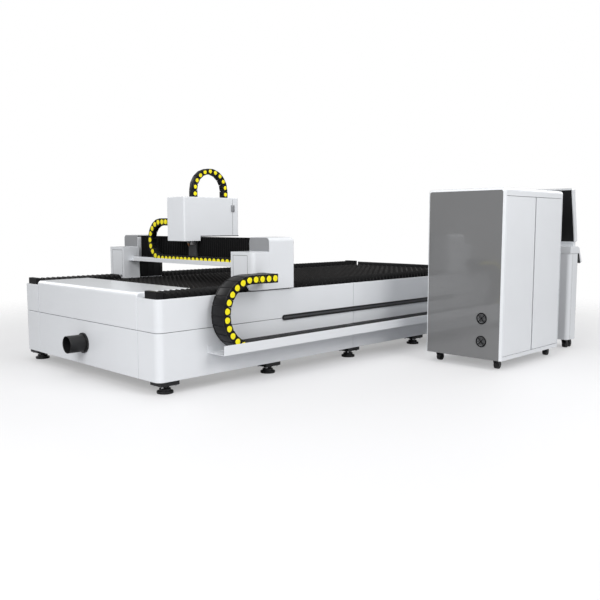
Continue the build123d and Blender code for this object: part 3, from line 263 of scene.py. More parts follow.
def settled_dust_group():
    """Colour with a thin veil of dust on what faces up."""
    tree, given, result = new_group(
        "settled_dust",
        {"Color": (0.1, 0.1, 0.1, 1), "Dust": (0.35, 0.34, 0.32, 1), "Amount": 0.2}, ("Color",))
    normal = tree.nodes.new("ShaderNodeNewGeometry").outputs["Normal"]
    facing = add_node(tree, "ShaderNodeSeparateXYZ", None, (normal,)).outputs["Z"]
    patches = noise(tree, object_place(tree), Scale=9.0, Detail=6.0)
    patch = calc(tree, "MULTIPLY", calc(tree, "MAXIMUM", facing, 0.0), patches)
    share = calc(tree, "MULTIPLY", patch, given["Amount"], use_clamp=True)
    mix = add_node(
        tree, "ShaderNodeMix", {"data_type": "RGBA"}, Factor=share, A=given["Color"], B=given["Dust"])
    tree.links.new(mix.outputs["Result"], result["Color"])
    return tree


def ground_streak_group():
    """Roughness of steel ground or brushed along one direction."""
    tree, given, result = new_group(
        "ground_streak", {"Stretch": (2.0, 400.0, 400.0), "Roughness": 0.3, "Amount": 0.15},
        ("Roughness", "Height"))
    stretched = add_node(
        tree, "ShaderNodeVectorMath", {"operation": "MULTIPLY"}, (object_place(tree), given["Stretch"]))
    streaks = noise(tree, stretched.outputs[0], Scale=1.0, Detail=3.0)
    swing = calc(tree, "MULTIPLY_ADD", streaks, given["Amount"], given["Roughness"])
    tree.links.new(swing, result["Roughness"])
    tree.links.new(streaks, result["Height"])
    return tree


def coated_weave_group():
    """Height of a fine plain weave under its coating."""
    tree, given, result = new_group("coated_weave", {"Scale": 180.0}, ("Height",))
    place = object_place(tree)
    threads = []
    for direction in "XY":
        wave = add_node(
            tree, "ShaderNodeTexWave", {"bands_direction": direction},
            Vector=place, Scale=given["Scale"], Distortion=0.4)
        threads.append(wave.outputs["Fac"])
    tree.links.new(calc(tree, "MULTIPLY", *threads), result["Height"])
    return tree


GROUPS = {}


def effect(tree, name, **values):
    """What a shared effect gives in a material, with its own values or sockets."""
    return add_node(tree, "ShaderNodeGroup", {"node_tree": GROUPS[name]}, **values).outputs


def new_material(name):
    """A material with its tree and its shader."""
    material = bpy.data.materials.new(name)
    material.use_nodes = True
    tree = material.node_tree
    return material, tree, tree.nodes["Principled BSDF"]


def dusted(tree, colour, dust):
    """A colour, under a veil of dust where there is some."""
    return effect(tree, "settled_dust", Color=colour, Amount=dust)["Color"] if dust else colour


def dress(tree, shader, colour, roughness, height, depth):
    """Feeds a shader its colour, its roughness and a bump of a given depth."""
    bump = add_node(tree, "ShaderNodeBump", Strength=1.0, Distance=depth, Height=height)
    fed = {"Base Color": colour, "Roughness": roughness, "Normal": bump.outputs["Normal"]}
    for label, socket in fed.items():
        tree.links.new(socket, shader.inputs[label])


def painted(name, colour, roughness, drift=0.03, drift_scale=2.5, grain=900.0, depth=0.00012,
            dust=0.0, coat=0.0, shine=0.5):
    """Paint, plastic or coated metal: drifting colour, fine grain and a little dust."""
    material, tree, shader = new_material(name)
    tone = effect(
        tree, "surface_drift", Color=(*colour, 1), Roughness=roughness, Scale=drift_scale, Amount=drift)
    fine = effect(tree, "fine_grain", Scale=grain)
    dress(tree, shader, dusted(tree, tone["Color"], dust), tone["Roughness"], fine["Height"], depth)
    shader.inputs["Coat Weight"].default_value = coat
    shader.inputs["Coat Roughness"].default_value = 0.04
    shader.inputs["Specular IOR Level"].default_value = shine
    return material


def ground_steel(name, colour, roughness, stretch):
    """Bright steel with streaks along its grinding direction."""
    material, tree, shader = new_material(name)
    tone = effect(
        tree, "surface_drift", Color=(*colour, 1), Roughness=roughness, Scale=6.0, Amount=0.06)
    streak = effect(tree, "ground_streak", Stretch=stretch, Roughness=roughness, Amount=0.14)
    dress(tree, shader, tone["Color"], streak["Roughness"], streak["Height"], 0.00008)
    shader.inputs["Metallic"].default_value = 1.0
    return material


def cloth(name, colour):
    """Coated cloth of the bellows."""
    material, tree, shader = new_material(name)
    tone = effect(tree, "surface_drift", Color=(*colour, 1), Roughness=0.55, Scale=14.0, Amount=0.16)
    weave = effect(tree, "coated_weave", Scale=170.0)
    dress(tree, shader, dusted(tree, tone["Color"], 0.02), tone["Roughness"], weave["Height"], 0.0003)
    shader.inputs["Specular IOR Level"].default_value = 0.1
    return material


def slot_materials(colours):
    """A material for each of the record's slots, and three for the added fittings.

    After a paint's name and colour come its roughness, the drift and its scale, the grain and its
    depth, and the dust. After a steel's come its roughness and the stretch of its streaks.
    """
    return {
        "white_paint": painted("panel_white", colours.white, 0.26, coat=0.3),
        "grey_gloss": painted(
            "side_panel_grey", colours.grey, 0.18, 0.05, 1.2, 1500.0, 0.00002, coat=1.0),
        "frame_paint": painted(
            "frame_grey", colours.frame_grey, 0.5, 0.06, 5.0, 500.0, 0.0002, 0.05),
        "black_steel": painted(
            "black_enamel", (0.010, 0.010, 0.011), 0.38, 0.12, 8.0, 700.0, 0.0001, 0.04, shine=0.4),
        "slat_steel": painted(
            "mill_scale", colours.slat, 0.55, 0.45, 16.0, 260.0, 0.0006, 0.05, shine=0.3),
        "rail_steel": ground_steel("ground_rail", colours.steel, 0.26, (2.0, 500.0, 500.0)),
        "bellows_cloth": cloth("bellows_cloth", colours.cloth),
        "black_plastic": painted(
            "chain_plastic", colours.black, 0.36, 0.14, 20.0, 1200.0, 0.00015, 0.01, shine=0.22),
        "drive_black": painted(
            "drive_black", (0.03, 0.03, 0.034), 0.40, 0.1, 9.0, 700.0, 0.0002, 0.2),
        "machined": ground_steel("machined_plate", (0.64, 0.65, 0.67), 0.34, (400.0, 3.0, 400.0)),
        "head_steel": ground_steel("turned_steel", (0.50, 0.51, 0.53), 0.28, (300.0, 300.0, 4.0)),
        "copper": ground_steel("nozzle_copper", (0.70, 0.38, 0.20), 0.25, (400.0, 400.0, 8.0)),
        "screen_glass": painted(
            "screen_black", (0.004, 0.005, 0.006), 0.12, 0.2, 3.0, 50.0, 0.00001, shine=0.3),
        "castor_metal": painted(
            "fork_enamel", (0.014, 0.014, 0.015), 0.4, 0.12, 30.0, 600.0, 0.0001),
        "castor_tread": painted(
            "castor_rubber", (0.010, 0.010, 0.011), 0.5, 0.2, 30.0, 600.0, 0.0002, 0.02),
        "red_plastic": painted(
            "stop_red", (0.62, 0.02, 0.015), 0.25, 0.05, 30.0, 900.0, 0.00005, coat=0.4),
        "cap_yellow": painted("cap_yellow", colours.yellow, 0.34, 0.05, 40.0, 900.0, 0.00005),
        "shade_grey": painted("housing_grey", (0.27, 0.275, 0.285), 0.4, 0.04, 3.0, 900.0, 0.0001),
        "seal_black": painted("seal_black", (0.012, 0.012, 0.013), 0.55, 0.1, 30.0, 700.0, 0.0001),
    }


MATERIALS = {}
# Sides of a hexagon bolt
HEXAGON = 6


# Mesh helpers
def add_box(bm, corner, opposite, edge=0.0, material=0):
    """A box between two corners, its edges rounded; returns its vertices."""
    a, b = Vector(corner), Vector(opposite)
    made = bmesh.ops.create_cube(bm, size=1.0)["verts"]
    scale = Matrix.Diagonal([max(abs(v), 1e-6) for v in (b - a)] + [1.0])
    bmesh.ops.transform(bm, matrix=Matrix.Translation((a + b) / 2) @ scale, verts=made)
    return round_off(bm, made, edge, material)


def round_off(bm, verts, edge, material):
    """Bevels the edges of the given vertices and paints their faces."""
    faces = {face for vert in verts for face in vert.link_faces}
    for face in faces:
        face.material_index = material
    if edge <= 0:
        return verts
    segments, profile, flattest = 2, 0.6, radians(30)
    edges = {e for vert in verts for e in vert.link_edges if e.calc_face_angle(0) > flattest}
    made = bmesh.ops.bevel(
        bm, geom=list(edges), offset=edge, segments=segments, profile=profile, affect="EDGES",
        clamp_overlap=True, material=material)
    return list({vert for face in made["faces"] for vert in face.verts} | {v for v in verts if v.is_valid})


def add_round(bm, centre, axis, radius, depth, edge=0.0, material=0, sides=28):
    """A cylinder about a point, along an axis, its rims rounded."""
    made = bmesh.ops.create_cone(
        bm, cap_ends=True, segments=sides, radius1=radius, radius2=radius, depth=depth)["verts"]
    turn = Vector((0, 0, 1)).rotation_difference(Vector(axis)).to_matrix().to_4x4()
    bmesh.ops.transform(bm, matrix=Matrix.Translation(Vector(centre)) @ turn, verts=made)
    return round_off(bm, made, edge, material)


def add_prism(bm, outline, depth_axis, start, end, edge=0.0, material=0):
    """A prism of a flat outline along one axis: the outline's pairs fill the other two in order."""
    verts = []
    for level in (start, end):
        ring = []
        for pair in outline:
            place = list(pair)
            place.insert("xyz".index(depth_axis), level)
            ring.append(bm.verts.new(place))
        verts.append(ring)
    first, last = verts
    count = len(outline)
    faces = [bm.faces.new(first), bm.faces.new(list(reversed(last)))]
    for k in range(count):
        n = (k + 1) % count
        faces.append(bm.faces.new((first[n], first[k], last[k], last[n])))
    bmesh.ops.recalc_face_normals(bm, faces=faces)
    return round_off(bm, first + last, edge, material)


def add_ring(bm, centre, axis, outer, inner, depth, sides=40, material=0):
    """A flat ring about a point, facing along an axis."""
    turn = Vector((0, 0, 1)).rotation_difference(Vector(axis)).to_matrix()
    rings = []
    for radius, level in ((outer, -1), (outer, 1), (inner, 1), (inner, -1)):
        ring = []
        for k in range(sides):
            angle = 2 * pi * k / sides
            point = Vector((radius * cos(angle), radius * sin(angle), level * depth / 2))
            ring.append(bm.verts.new(Vector(centre) + turn @ point))
        rings.append(ring)
    for number, ring in enumerate(rings):
        following = rings[(number + 1) % 4]
        for k in range(sides):
            n = (k + 1) % sides
            bm.faces.new((ring[k], ring[n], following[n], following[k])).material_index = material


def add_seal(bm, x, face, bottom, top):
    """A strip set back in an upright seam of a face on the -Y side."""
    half, front, back, edge = 0.0014, 0.0003, 0.0019, 0.0003
    add_box(bm, (x - half, face + front, bottom), (x + half, face + back, top), edge)


def finish_piece(name, mesh, slots, sharp=radians(32)):
    """Links a mesh as a new object with its materials and smooth shading up to an angle."""
    for slot in slots:
        mesh.materials.append(MATERIALS[slot])
    mesh.polygons.foreach_set("use_smooth", [True] * len(mesh.polygons))
    mesh.set_sharp_from_angle(angle=sharp)
    piece = bpy.data.objects.new(name, mesh)
    bpy.context.scene.collection.objects.link(piece)
    return piece


def mesh_from(name, bm):
    """A mesh from a bmesh, with its faces turned outward."""
    bmesh.ops.recalc_face_normals(bm, faces=bm.faces)
    mesh = bpy.data.meshes.new(name)
    bm.to_mesh(mesh)
    bm.free()
    return mesh


def piece_from(name, bm, slots):
    """A new object from a bmesh."""
    return finish_piece(name, mesh_from(name, bm), slots)


def follow(piece):
    """Bakes a piece's transform into its points."""
    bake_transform(piece)


# Drag chains
def link_shape(pitch, width, depth, cap_radius):
    """One link along X with its outer side up and its cap on the -Y side, as a mesh."""
    gap_share, plate_share, edge_share, lid_share, lid_edge_share = 0.018, 0.085, 0.05, 0.09, 0.3
    boss_length_share, boss_height_share, boss_sunk_share = 0.55, 0.72, 0.5
    liner_width_share, liner_low_share, liner_high_share = 0.8, 0.55, 0.86
    lid_length_share, lid_top_share = 0.9, 0.965
    bar_place_share, bar_half_share, bar_low_share, bar_sunk_share = 0.5, 0.26, 0.98, 0.5
    rim_share, rim_out, rim_thick = 1.12, 0.0004, 0.0010
    cap_out, cap_thick, cap_edge, cap_sides = 0.0006, 0.0018, 0.0005, 32
    half, tall = width / 2, depth / 2
    reach = pitch / 2 - pitch * gap_share
    plate, lid = width * plate_share, depth * lid_share
    bm = bmesh.new()
    for side in (-1, 1):
        add_box(
            bm, (-reach, side * half, -tall), (reach, side * (half - plate), tall), depth * edge_share)
        boss_reach, boss_tall = reach * boss_length_share, tall * boss_height_share
        add_box(
            bm, (-boss_reach, side * half, -boss_tall),
            (boss_reach, side * (half - plate * boss_sunk_share), boss_tall))
    liner = half - plate * liner_width_share
    add_box(
        bm, (-pitch / 2, -liner, -tall * liner_low_share), (pitch / 2, liner, tall * liner_high_share))
    lid_reach, lid_top = reach * lid_length_share, tall * lid_top_share
    add_box(
        bm, (-lid_reach, -half + plate, lid_top), (lid_reach, half - plate, lid_top - lid),
        lid * lid_edge_share)
    bar_width, bar_low = half - plate * bar_sunk_share, -tall * bar_low_share
    for place in (-bar_place_share, bar_place_share):
        add_box(
            bm, ((place - bar_half_share) * reach, -bar_width, bar_low),
            ((place + bar_half_share) * reach, bar_width, bar_low + lid), lid * lid_edge_share)
    outward = (0, -1, 0)
    add_round(
        bm, (0, -half - rim_out, 0), outward, cap_radius * rim_share, rim_thick, sides=cap_sides)
    add_round(
        bm, (0, -half - cap_out, 0), outward, cap_radius, cap_thick, cap_edge, 1, cap_sides)
    return mesh_from("link", bm)


# How much narrower, on each side, a link is that slides inside another
NEST_STEP = 0.0017


class Chain:
    """A drag chain: its bend's centre and radius, its frame, its sizes and a link's shape."""

    def __init__(self, centre, along, outward, radius, section, links, cap_share):
        self.centre, self.radius, self.links = centre, radius, links
        self.width, self.depth = section
        self.pitch = pi * radius / links
        axes = Matrix((along, outward.cross(along), outward)).transposed().to_4x4()
        self.frame = Matrix.Translation(centre) @ axes
        self.shape = link_shape(self.pitch, self.width, self.depth, self.depth * cap_share / 2)

    def at_run(self, distance, level, layer=0):
        """Place of a straight link at a distance from the bend, on the upper or lower run.

        A link of a deeper layer is a little narrower, so that it slides hidden inside the others.
        """
        turn = Matrix.Identity(4) if level > 0 else Matrix.Rotation(pi, 4, "Y")
        inset = layer * NEST_STEP
        small = Matrix.Diagonal((1, 1 - inset / (self.width / 2), 1 - inset / self.depth, 1))
        return self.frame @ Matrix.Translation((distance, 0, level * self.radius)) @ turn @ small

    def bend_places(self):
        """Places of the links of the half turn."""
        outer = Matrix.Translation((0, 0, self.radius))
        angles = [-(number + 0.5) * pi / self.links for number in range(self.links)]
        return [self.frame @ Matrix.Rotation(angle, 4, "Y") @ outer for angle in angles]

    def piece(self, name, places, bent=False):
        """One object of many links, with the number of the link for each of its points."""
        count = len(self.shape.vertices)
        points = np.empty(count * 3)
        self.shape.vertices.foreach_get("co", points)
        points = points.reshape(-1, 3)
        if bent:
            points[:, 0] *= 1 + points[:, 2] / self.radius
            points[:, 2] -= np.maximum(points[:, 2], 0) * (1 - cos(pi / self.links / 2)) * (
                self.radius / (self.depth / 2) + 1)
        faces = [tuple(face.vertices) for face in self.shape.polygons]
        paints = [face.material_index for face in self.shape.polygons]
        verts, all_faces, all_paints = [], [], []
        for number, place in enumerate(places):
            turn = np.array(place.to_3x3())
            verts.append(points @ turn.T + np.array(place.translation))
            all_faces += [tuple(v + number * count for v in face) for face in faces]
            all_paints += paints
        mesh = bpy.data.meshes.new(name)
        mesh.from_pydata(np.vstack(verts).tolist(), [], all_faces)
        mesh.polygons.foreach_set("material_index", all_paints)
        owner = np.repeat(np.arange(len(places)), count)
        return finish_piece(name, mesh, ["black_plastic", "cap_yellow"]), owner


def run_chain(name, along, links, cap_share):
    """A chain with a lower run, a bend and an upper run, measured from its CAD nodes."""
    lower, bend = f"{name}_lower", f"{name}_bend"
    along, up = Vector(along), Vector((0, 0, 1))
    across = up.cross(along)
    depth = span(lower).z
    start = low(lower) if sum(along) > 0 else high(lower)
    centre = middle(bend)
    for axis in range(3):
        if along[axis]:
            centre[axis] = start[axis]
        elif across[axis]:
            centre[axis] = middle(lower)[axis]
    section = abs(span(lower).dot(across)), depth
    return Chain(centre, along, up, (span(bend).z - depth) / 2, section, links, cap_share)


def nested_run(chain, level, count, grow, shrink):
    """Places, and shares of the bend's motion, for the links of a run from its anchor to the bend.

    Count links lie in the run at rest. Grow and shrink are the carrier's ways that lengthen and
    shorten it by half. Links near the anchor stay, links near the bend go with it, and the links
    between them spread evenly when the run grows and lie inside the others when it shrinks.
    """
    pitch, length = chain.pitch, count * chain.pitch
    stretch_share = 0.15
    grow, shrink = grow / 2, shrink / 2
    kept = int((length - shrink) / pitch)
    first = min(count - 1, max(kept, ceil(shrink / pitch)))
    room = (first - kept) * pitch + grow
    between = ceil(room / pitch - stretch_share)
    spread = [kept * pitch + (number + 0.5) * room / between for number in range(between)]
    seats = [(slot + 0.5) * pitch for slot in range(count)]
    links = [(rest, 0.0, 0) for rest in seats[:kept]]
    links += [(rest, 1.0, 1) for rest in seats[first:]]
    for rest in seats[kept:first]:
        far = max(place for place in spread if place <= rest + (rest - pitch / 2) * grow / shrink)
        spread.remove(far)
        links.append((rest, (far - rest) / grow, 1))
    inmost = length - shrink - (pitch + min(pitch, length - shrink - pitch)) / 2
    for far in spread:
        most = (inmost + far * shrink / grow) / (1 + shrink / grow)
        rest = min(most, far, seats[-1])
        links.append((rest, (far - rest) / grow, 2))
    places = [chain.at_run(length - rest, level, layer) for rest, share, layer in links]
    return places, np.clip([share for rest, share, layer in links], 0, 1)


def build_chain(chain, name, bodies, way, travel, back):
    """Lower run, bend and upper run of a chain whose bend moves at half its carrier's speed.

    bodies are the fixed, the turning and the carried body, of which only the turning body is used, and way is the
    axis that the chain runs along; travel lengthens the upper run, back shortens it.
    """
    lower, bend, upper = f"{name}_lower", f"{name}_bend", f"{name}_upper"
    fixed, turning, carried = bodies
    lower_count, shown = (round(span(node)[way] / chain.pitch) for node in (lower, upper))
    places, shares = nested_run(chain, -1, lower_count, back, travel)
    run, owner = chain.piece(f"{lower}_links", places)
    follow(run)
    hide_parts(lower)
    turn, owner = chain.piece(f"{bend}_links", chain.bend_places(), True)
    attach(turn, turning)
    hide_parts(bend)
    places, shares = nested_run(chain, 1, shown, travel, back)
    run, owner = chain.piece(f"{upper}_links", places)
    follow(run)
    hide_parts(upper)


# Bellows: the angle past which an edge of a pleat stays sharp
PLEAT_SHARP = radians(50)
# Places along a pleat and its depth there, as shares
PLEAT = ((0.16, 0.30), (0.42, 0.94), (0.5, 1.0), (0.58, 0.94), (0.84, 0.30), (1.0, 0.0))


def pleated_cover(name, start, end, pleat, outline, inner, to_row):
    """Closed pleated tube from start to end along its length.

    outline(share) gives the outer edge at a pleat's depth share, inner the inner edge; to_row
    turns a length and a point of the edge into a place in the machine's frame. Returns the
    piece and the share of the length of each of its points.
    """
    count = max(2, round((end - start) / pleat))
    step = (end - start) / count
    stations = [(start, 0.0)]
    for number in range(count):
        base = start + number * step
        stations += [(base + along * step, depth) for along, depth in PLEAT]
    rings = []
    for place, depth in stations:
        edge = outline(depth) + list(reversed(inner))
        rings.append([to_row(place, point) for point in edge])
    size = len(rings[0])
    verts = [point for ring in rings for point in ring]
    faces = []
    for number in range(len(rings) - 1):
        for k in range(size):
            a = number * size + k
            b = number * size + (k + 1) % size
            faces.append((a, b, b + size, a + size))
    faces.append(tuple(range(size))[::-1])
    faces.append(tuple(range((len(rings) - 1) * size, len(rings) * size)))
    mesh = bpy.data.meshes.new(name)
    mesh.from_pydata([tuple(v) for v in verts], [], faces)
    bm = bmesh.new()
    bm.from_mesh(mesh)
    bmesh.ops.recalc_face_normals(bm, faces=bm.faces)
    bm.to_mesh(mesh)
    bm.free()
    shares = np.repeat([(place - start) / (end - start) for place, depth in stations], size)
    return finish_piece(name, mesh, ["bellows_cloth"], PLEAT_SHARP), shares


# Operators
class CUTTER_OT_finishes(bpy.types.Operator):
    """Make the finishes and put them on every CAD node, with rounded edges"""

    bl_idname = "cutter.finishes"
    bl_label = "Finishes"

    def execute(self, context):
        sizes = context.scene.cutter_sizes
        makers = {
            "surface_drift": surface_drift_group, "fine_grain": fine_grain_group,
            "settled_dust": settled_dust_group, "ground_streak": ground_streak_group,
            "coated_weave": coated_weave_group}
        for name, maker in makers.items():
            GROUPS[name] = maker()
        MATERIALS.update(slot_materials(context.scene.cutter_colours))
        for entry in frame["record"]["subparts"]:
            node = NODES[entry["node"]]
            slot = entry["material_slot"]
            node.data.materials.clear()
            node.data.materials.append(MATERIALS[slot])
            wide = slot == "white_paint" and "door" not in entry["node"]
            self.round_edges(node, sizes.edge if wide else sizes.small_edge)
        return {"FINISHED"}

    @staticmethod
    def round_edges(node, width):
        """Weld, clean and bevel a CAD node's edges, so that they catch the light."""
        weld = node.modifiers.new("weld", "WELD")
        weld.merge_threshold = 1e-5
        flat = node.modifiers.new("flat", "DECIMATE")
        flat.decimate_type = "DISSOLVE"
        flat.angle_limit = radians(0.6)
        bevel = node.modifiers.new("edges", "BEVEL")
        bevel.width = width
        bevel.segments = 2
        bevel.limit_method = "ANGLE"
        bevel.angle_limit = radians(40)
        bevel.harden_normals = True
        node.data.polygons.foreach_set("use_smooth", [True] * len(node.data.polygons))
        normals = node.modifiers.new("normals", "WEIGHTED_NORMAL")
        normals.keep_sharp = True


class CUTTER_OT_long_chain(bpy.types.Operator):
    """Link the long drag chain beside the bed"""

    bl_idname = "cutter.long_chain"
    bl_label = "Long drag chain"

    def execute(self, context):
        sizes = context.scene.cutter_sizes
        chain = run_chain("x_chain", (1, 0, 0), sizes.x_links, sizes.cap_share)
        back, travel = JOINTS["gantry_travel"]["range_m"]
        build_chain(chain, "x_chain", ("bed", "x_chain_turn", "gantry"), 0, travel, -back)
        self.end_plate(chain)
        return {"FINISHED"}

    @staticmethod
    def end_plate(chain):
        """Plate that holds the chain's end to the motor cover, with its two screws."""
        edge, screw, screw_edge, screw_shares = 0.002, 0.006, 0.001, (0.25, 0.75)
        a, b = low("x_chain_upper"), high("x_chain_upper")
        inner, outer = chain.centre.y + chain.width / 2, low("right_motor_cover").y
        bm = bmesh.new()
        add_box(bm, (b.x - chain.pitch, inner, a.z), (b.x, outer, b.z), edge)
        for share in screw_shares:
            place = (b.x, (inner + outer) / 2, a.z + share * chain.depth)
            add_round(bm, place, (1, 0, 0), screw, screw, screw_edge, sides=HEXAGON)
        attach(piece_from("x_chain_end_plate", bm, ["black_plastic"]), "gantry")


class CUTTER_OT_cross_chain(bpy.types.Operator):
    """Link the cross drag chain on the beam"""

    bl_idname = "cutter.cross_chain"
    bl_label = "Cross drag chain"

    def execute(self, context):
        sizes = context.scene.cutter_sizes
        chain = run_chain("y_chain", (0, -1, 0), sizes.y_links, sizes.cap_share)
        travel, back = JOINTS["head_traverse"]["range_m"]
        build_chain(chain, "y_chain", ("gantry", "y_chain_turn", "carriage"), 1, -travel, back)
        return {"FINISHED"}


class CUTTER_OT_lift_chain(bpy.types.Operator):
    """Link the lift drag chain above the head"""

    bl_idname = "cutter.lift_chain"
    bl_label = "Lift drag chain"

    def execute(self, context):
        sizes = context.scene.cutter_sizes
        a, b = low("z_chain"), high("z_chain")
        width, depth, half_way = 0.060, 0.056, 0.5
        radius = (b.x - a.x - depth) / 2
        centre = Vector(((a.x + b.x) / 2, b.y - width / 2, b.z - radius - depth / 2))
        chain = Chain(
            centre, Vector((0, 0, -1)), Vector((1, 0, 0)), radius, (width, depth), sizes.z_links,
            sizes.cap_share)
        drop = -JOINTS["head_lift"]["range_m"][0]
        legs = range(round((chain.centre.z - a.z) / chain.pitch))
        spares = range(int(drop / 2 / chain.pitch) + 1)
        fixed, owner = chain.piece(
            "z_chain_fixed_leg", [chain.at_run((n + 0.5) * chain.pitch, 1) for n in legs])
        follow(fixed)
        bend, owner = chain.piece("z_chain_arch", chain.bend_places(), True)
        follow(bend)
        places = [chain.at_run((n + 0.5) * chain.pitch, -1) for n in legs]
        places += [chain.at_run(0.5 * chain.pitch, -1, 1) for n in spares]
        leg, owner = chain.piece("z_chain_moving_leg", places)
        follow(leg)
        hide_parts("z_chain")
        return {"FINISHED"}


class CUTTER_OT_rail_bellows(bpy.types.Operator):
    """Pleat the bellows over the bed's rails"""

    bl_idname = "cutter.rail_bellows"
    bl_label = "Rail bellows"

    def execute(self, context):
        sizes = context.scene.cutter_sizes
        for node, near_gantry in (("rail_bellows_front", True), ("rail_bellows_rear", False)):
            for side in (-1, 1):
                self.one(node, side, near_gantry, sizes)
        return {"FINISHED"}

    @staticmethod
    def one(node, side, near_gantry, sizes):
        """Bellows over one rail, from its end cap to the gantry."""
        a, b = low(node), high(node)
        half = sizes.rail_bellows_width / 2
        rail = (b.y - half) if side > 0 else (a.y + half)
        tall = b.z - a.z
        fold, side_fold, crown, wall, roof = 0.022, 0.007, 0.018, 0.0115, 0.004
        chamfer = crown * 0.3

        def outline(depth):
            reach = half - side_fold * (1 - depth)
            top = tall - fold * (1 - depth)
            return [(-reach, 0), (-reach, top - crown), (-reach + chamfer, top - chamfer),
                    (-reach + crown, top), (reach - crown, top), (reach - chamfer, top - chamfer),
                    (reach, top - crown), (reach, 0)]

        inset, ceiling = half - wall, tall - fold - roof
        inner = [(-inset, 0), (-inset, ceiling - crown), (-inset + crown, ceiling),
                 (inset - crown, ceiling), (inset, ceiling - crown), (inset, 0)]
        name = f"{node}_{'left' if side > 0 else 'right'}"
        piece, shares = pleated_cover(
            name, a.x, b.x, sizes.rail_pleat, outline, inner,
            lambda place, point: (place, rail + point[0], a.z + point[1]))
        follow(piece)
        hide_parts(node)


class CUTTER_OT_beam_bellows(bpy.types.Operator):
    """Pleat the bellows over the beam's rails"""

    bl_idname = "cutter.beam_bellows"
    bl_label = "Beam bellows"

    def execute(self, context):
        sizes = context.scene.cutter_sizes
        a, b = low("beam_bellows"), high("beam_bellows")
        plate = middle("cutting_head").y
        half, fold, wall, lining = 0.0603, 0.0075, 0.003, 0.0028
        deep, tall = b.x - a.x, b.z - a.z

        def outline(depth):
            front = fold * (1 - depth)
            return [(deep, 0), (front, 0), (front, tall / 2), (front, tall), (deep, tall)]

        inner = [(deep, wall), (fold + lining, wall), (fold + lining, tall - wall), (deep, tall - wall)]
        runs = (("right", a.y, plate - half, True), ("left", plate + half, b.y, False))
        for label, y0, y1, far_end in runs:
            piece, shares = pleated_cover(
                f"beam_bellows_{label}", y0, y1, sizes.beam_pleat, outline, inner,
                lambda place, point: (a.x + point[0], place, a.z + point[1]))
            follow(piece)
            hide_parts("beam_bellows")
        return {"FINISHED"}


class CUTTER_OT_slats(bpy.types.Operator):
    """Cut the fine teeth of the table's slats"""

    bl_idname = "cutter.slats"
    bl_label = "Slats"

    def execute(self, context):
        sizes = context.scene.cutter_sizes
        a, b = low("slats"), high("slats")
        count, teeth = sizes.slat_count, sizes.slat_teeth
        thick, depth = 0.006, 0.022
        profile = ((0.06, depth), (0.44, 0), (0.56, 0), (0.94, depth))
        pitch = (b.x - a.x - thick) / (count - 1)
        tooth = (b.y - a.y) / teeth
        edge = [(a.y, a.z)]
        for number in range(teeth):
            start = a.y + number * tooth
            edge += [(start + tooth * share, b.z - drop) for share, drop in profile]
        edge.append((b.y, a.z))
        verts, faces = [], []
        for number in range(count):
            base = len(verts)
            x = a.x + number * pitch
            size = len(edge)
            verts += [(x, y, z) for y, z in edge] + [(x + thick, y, z) for y, z in edge]
            faces.append(tuple(base + k for k in range(size))[::-1])
            faces.append(tuple(base + size + k for k in range(size)))
            for k in range(size):
                n = (k + 1) % size
                faces.append((base + k, base + n, base + size + n, base + size + k))
        mesh = bpy.data.meshes.new("slat_blades")
        mesh.from_pydata(verts, [], faces)
        piece = finish_piece("slat_blades", mesh, ["slat_steel"])
        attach(piece, "bed")
        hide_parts("slats")
        return {"FINISHED"}


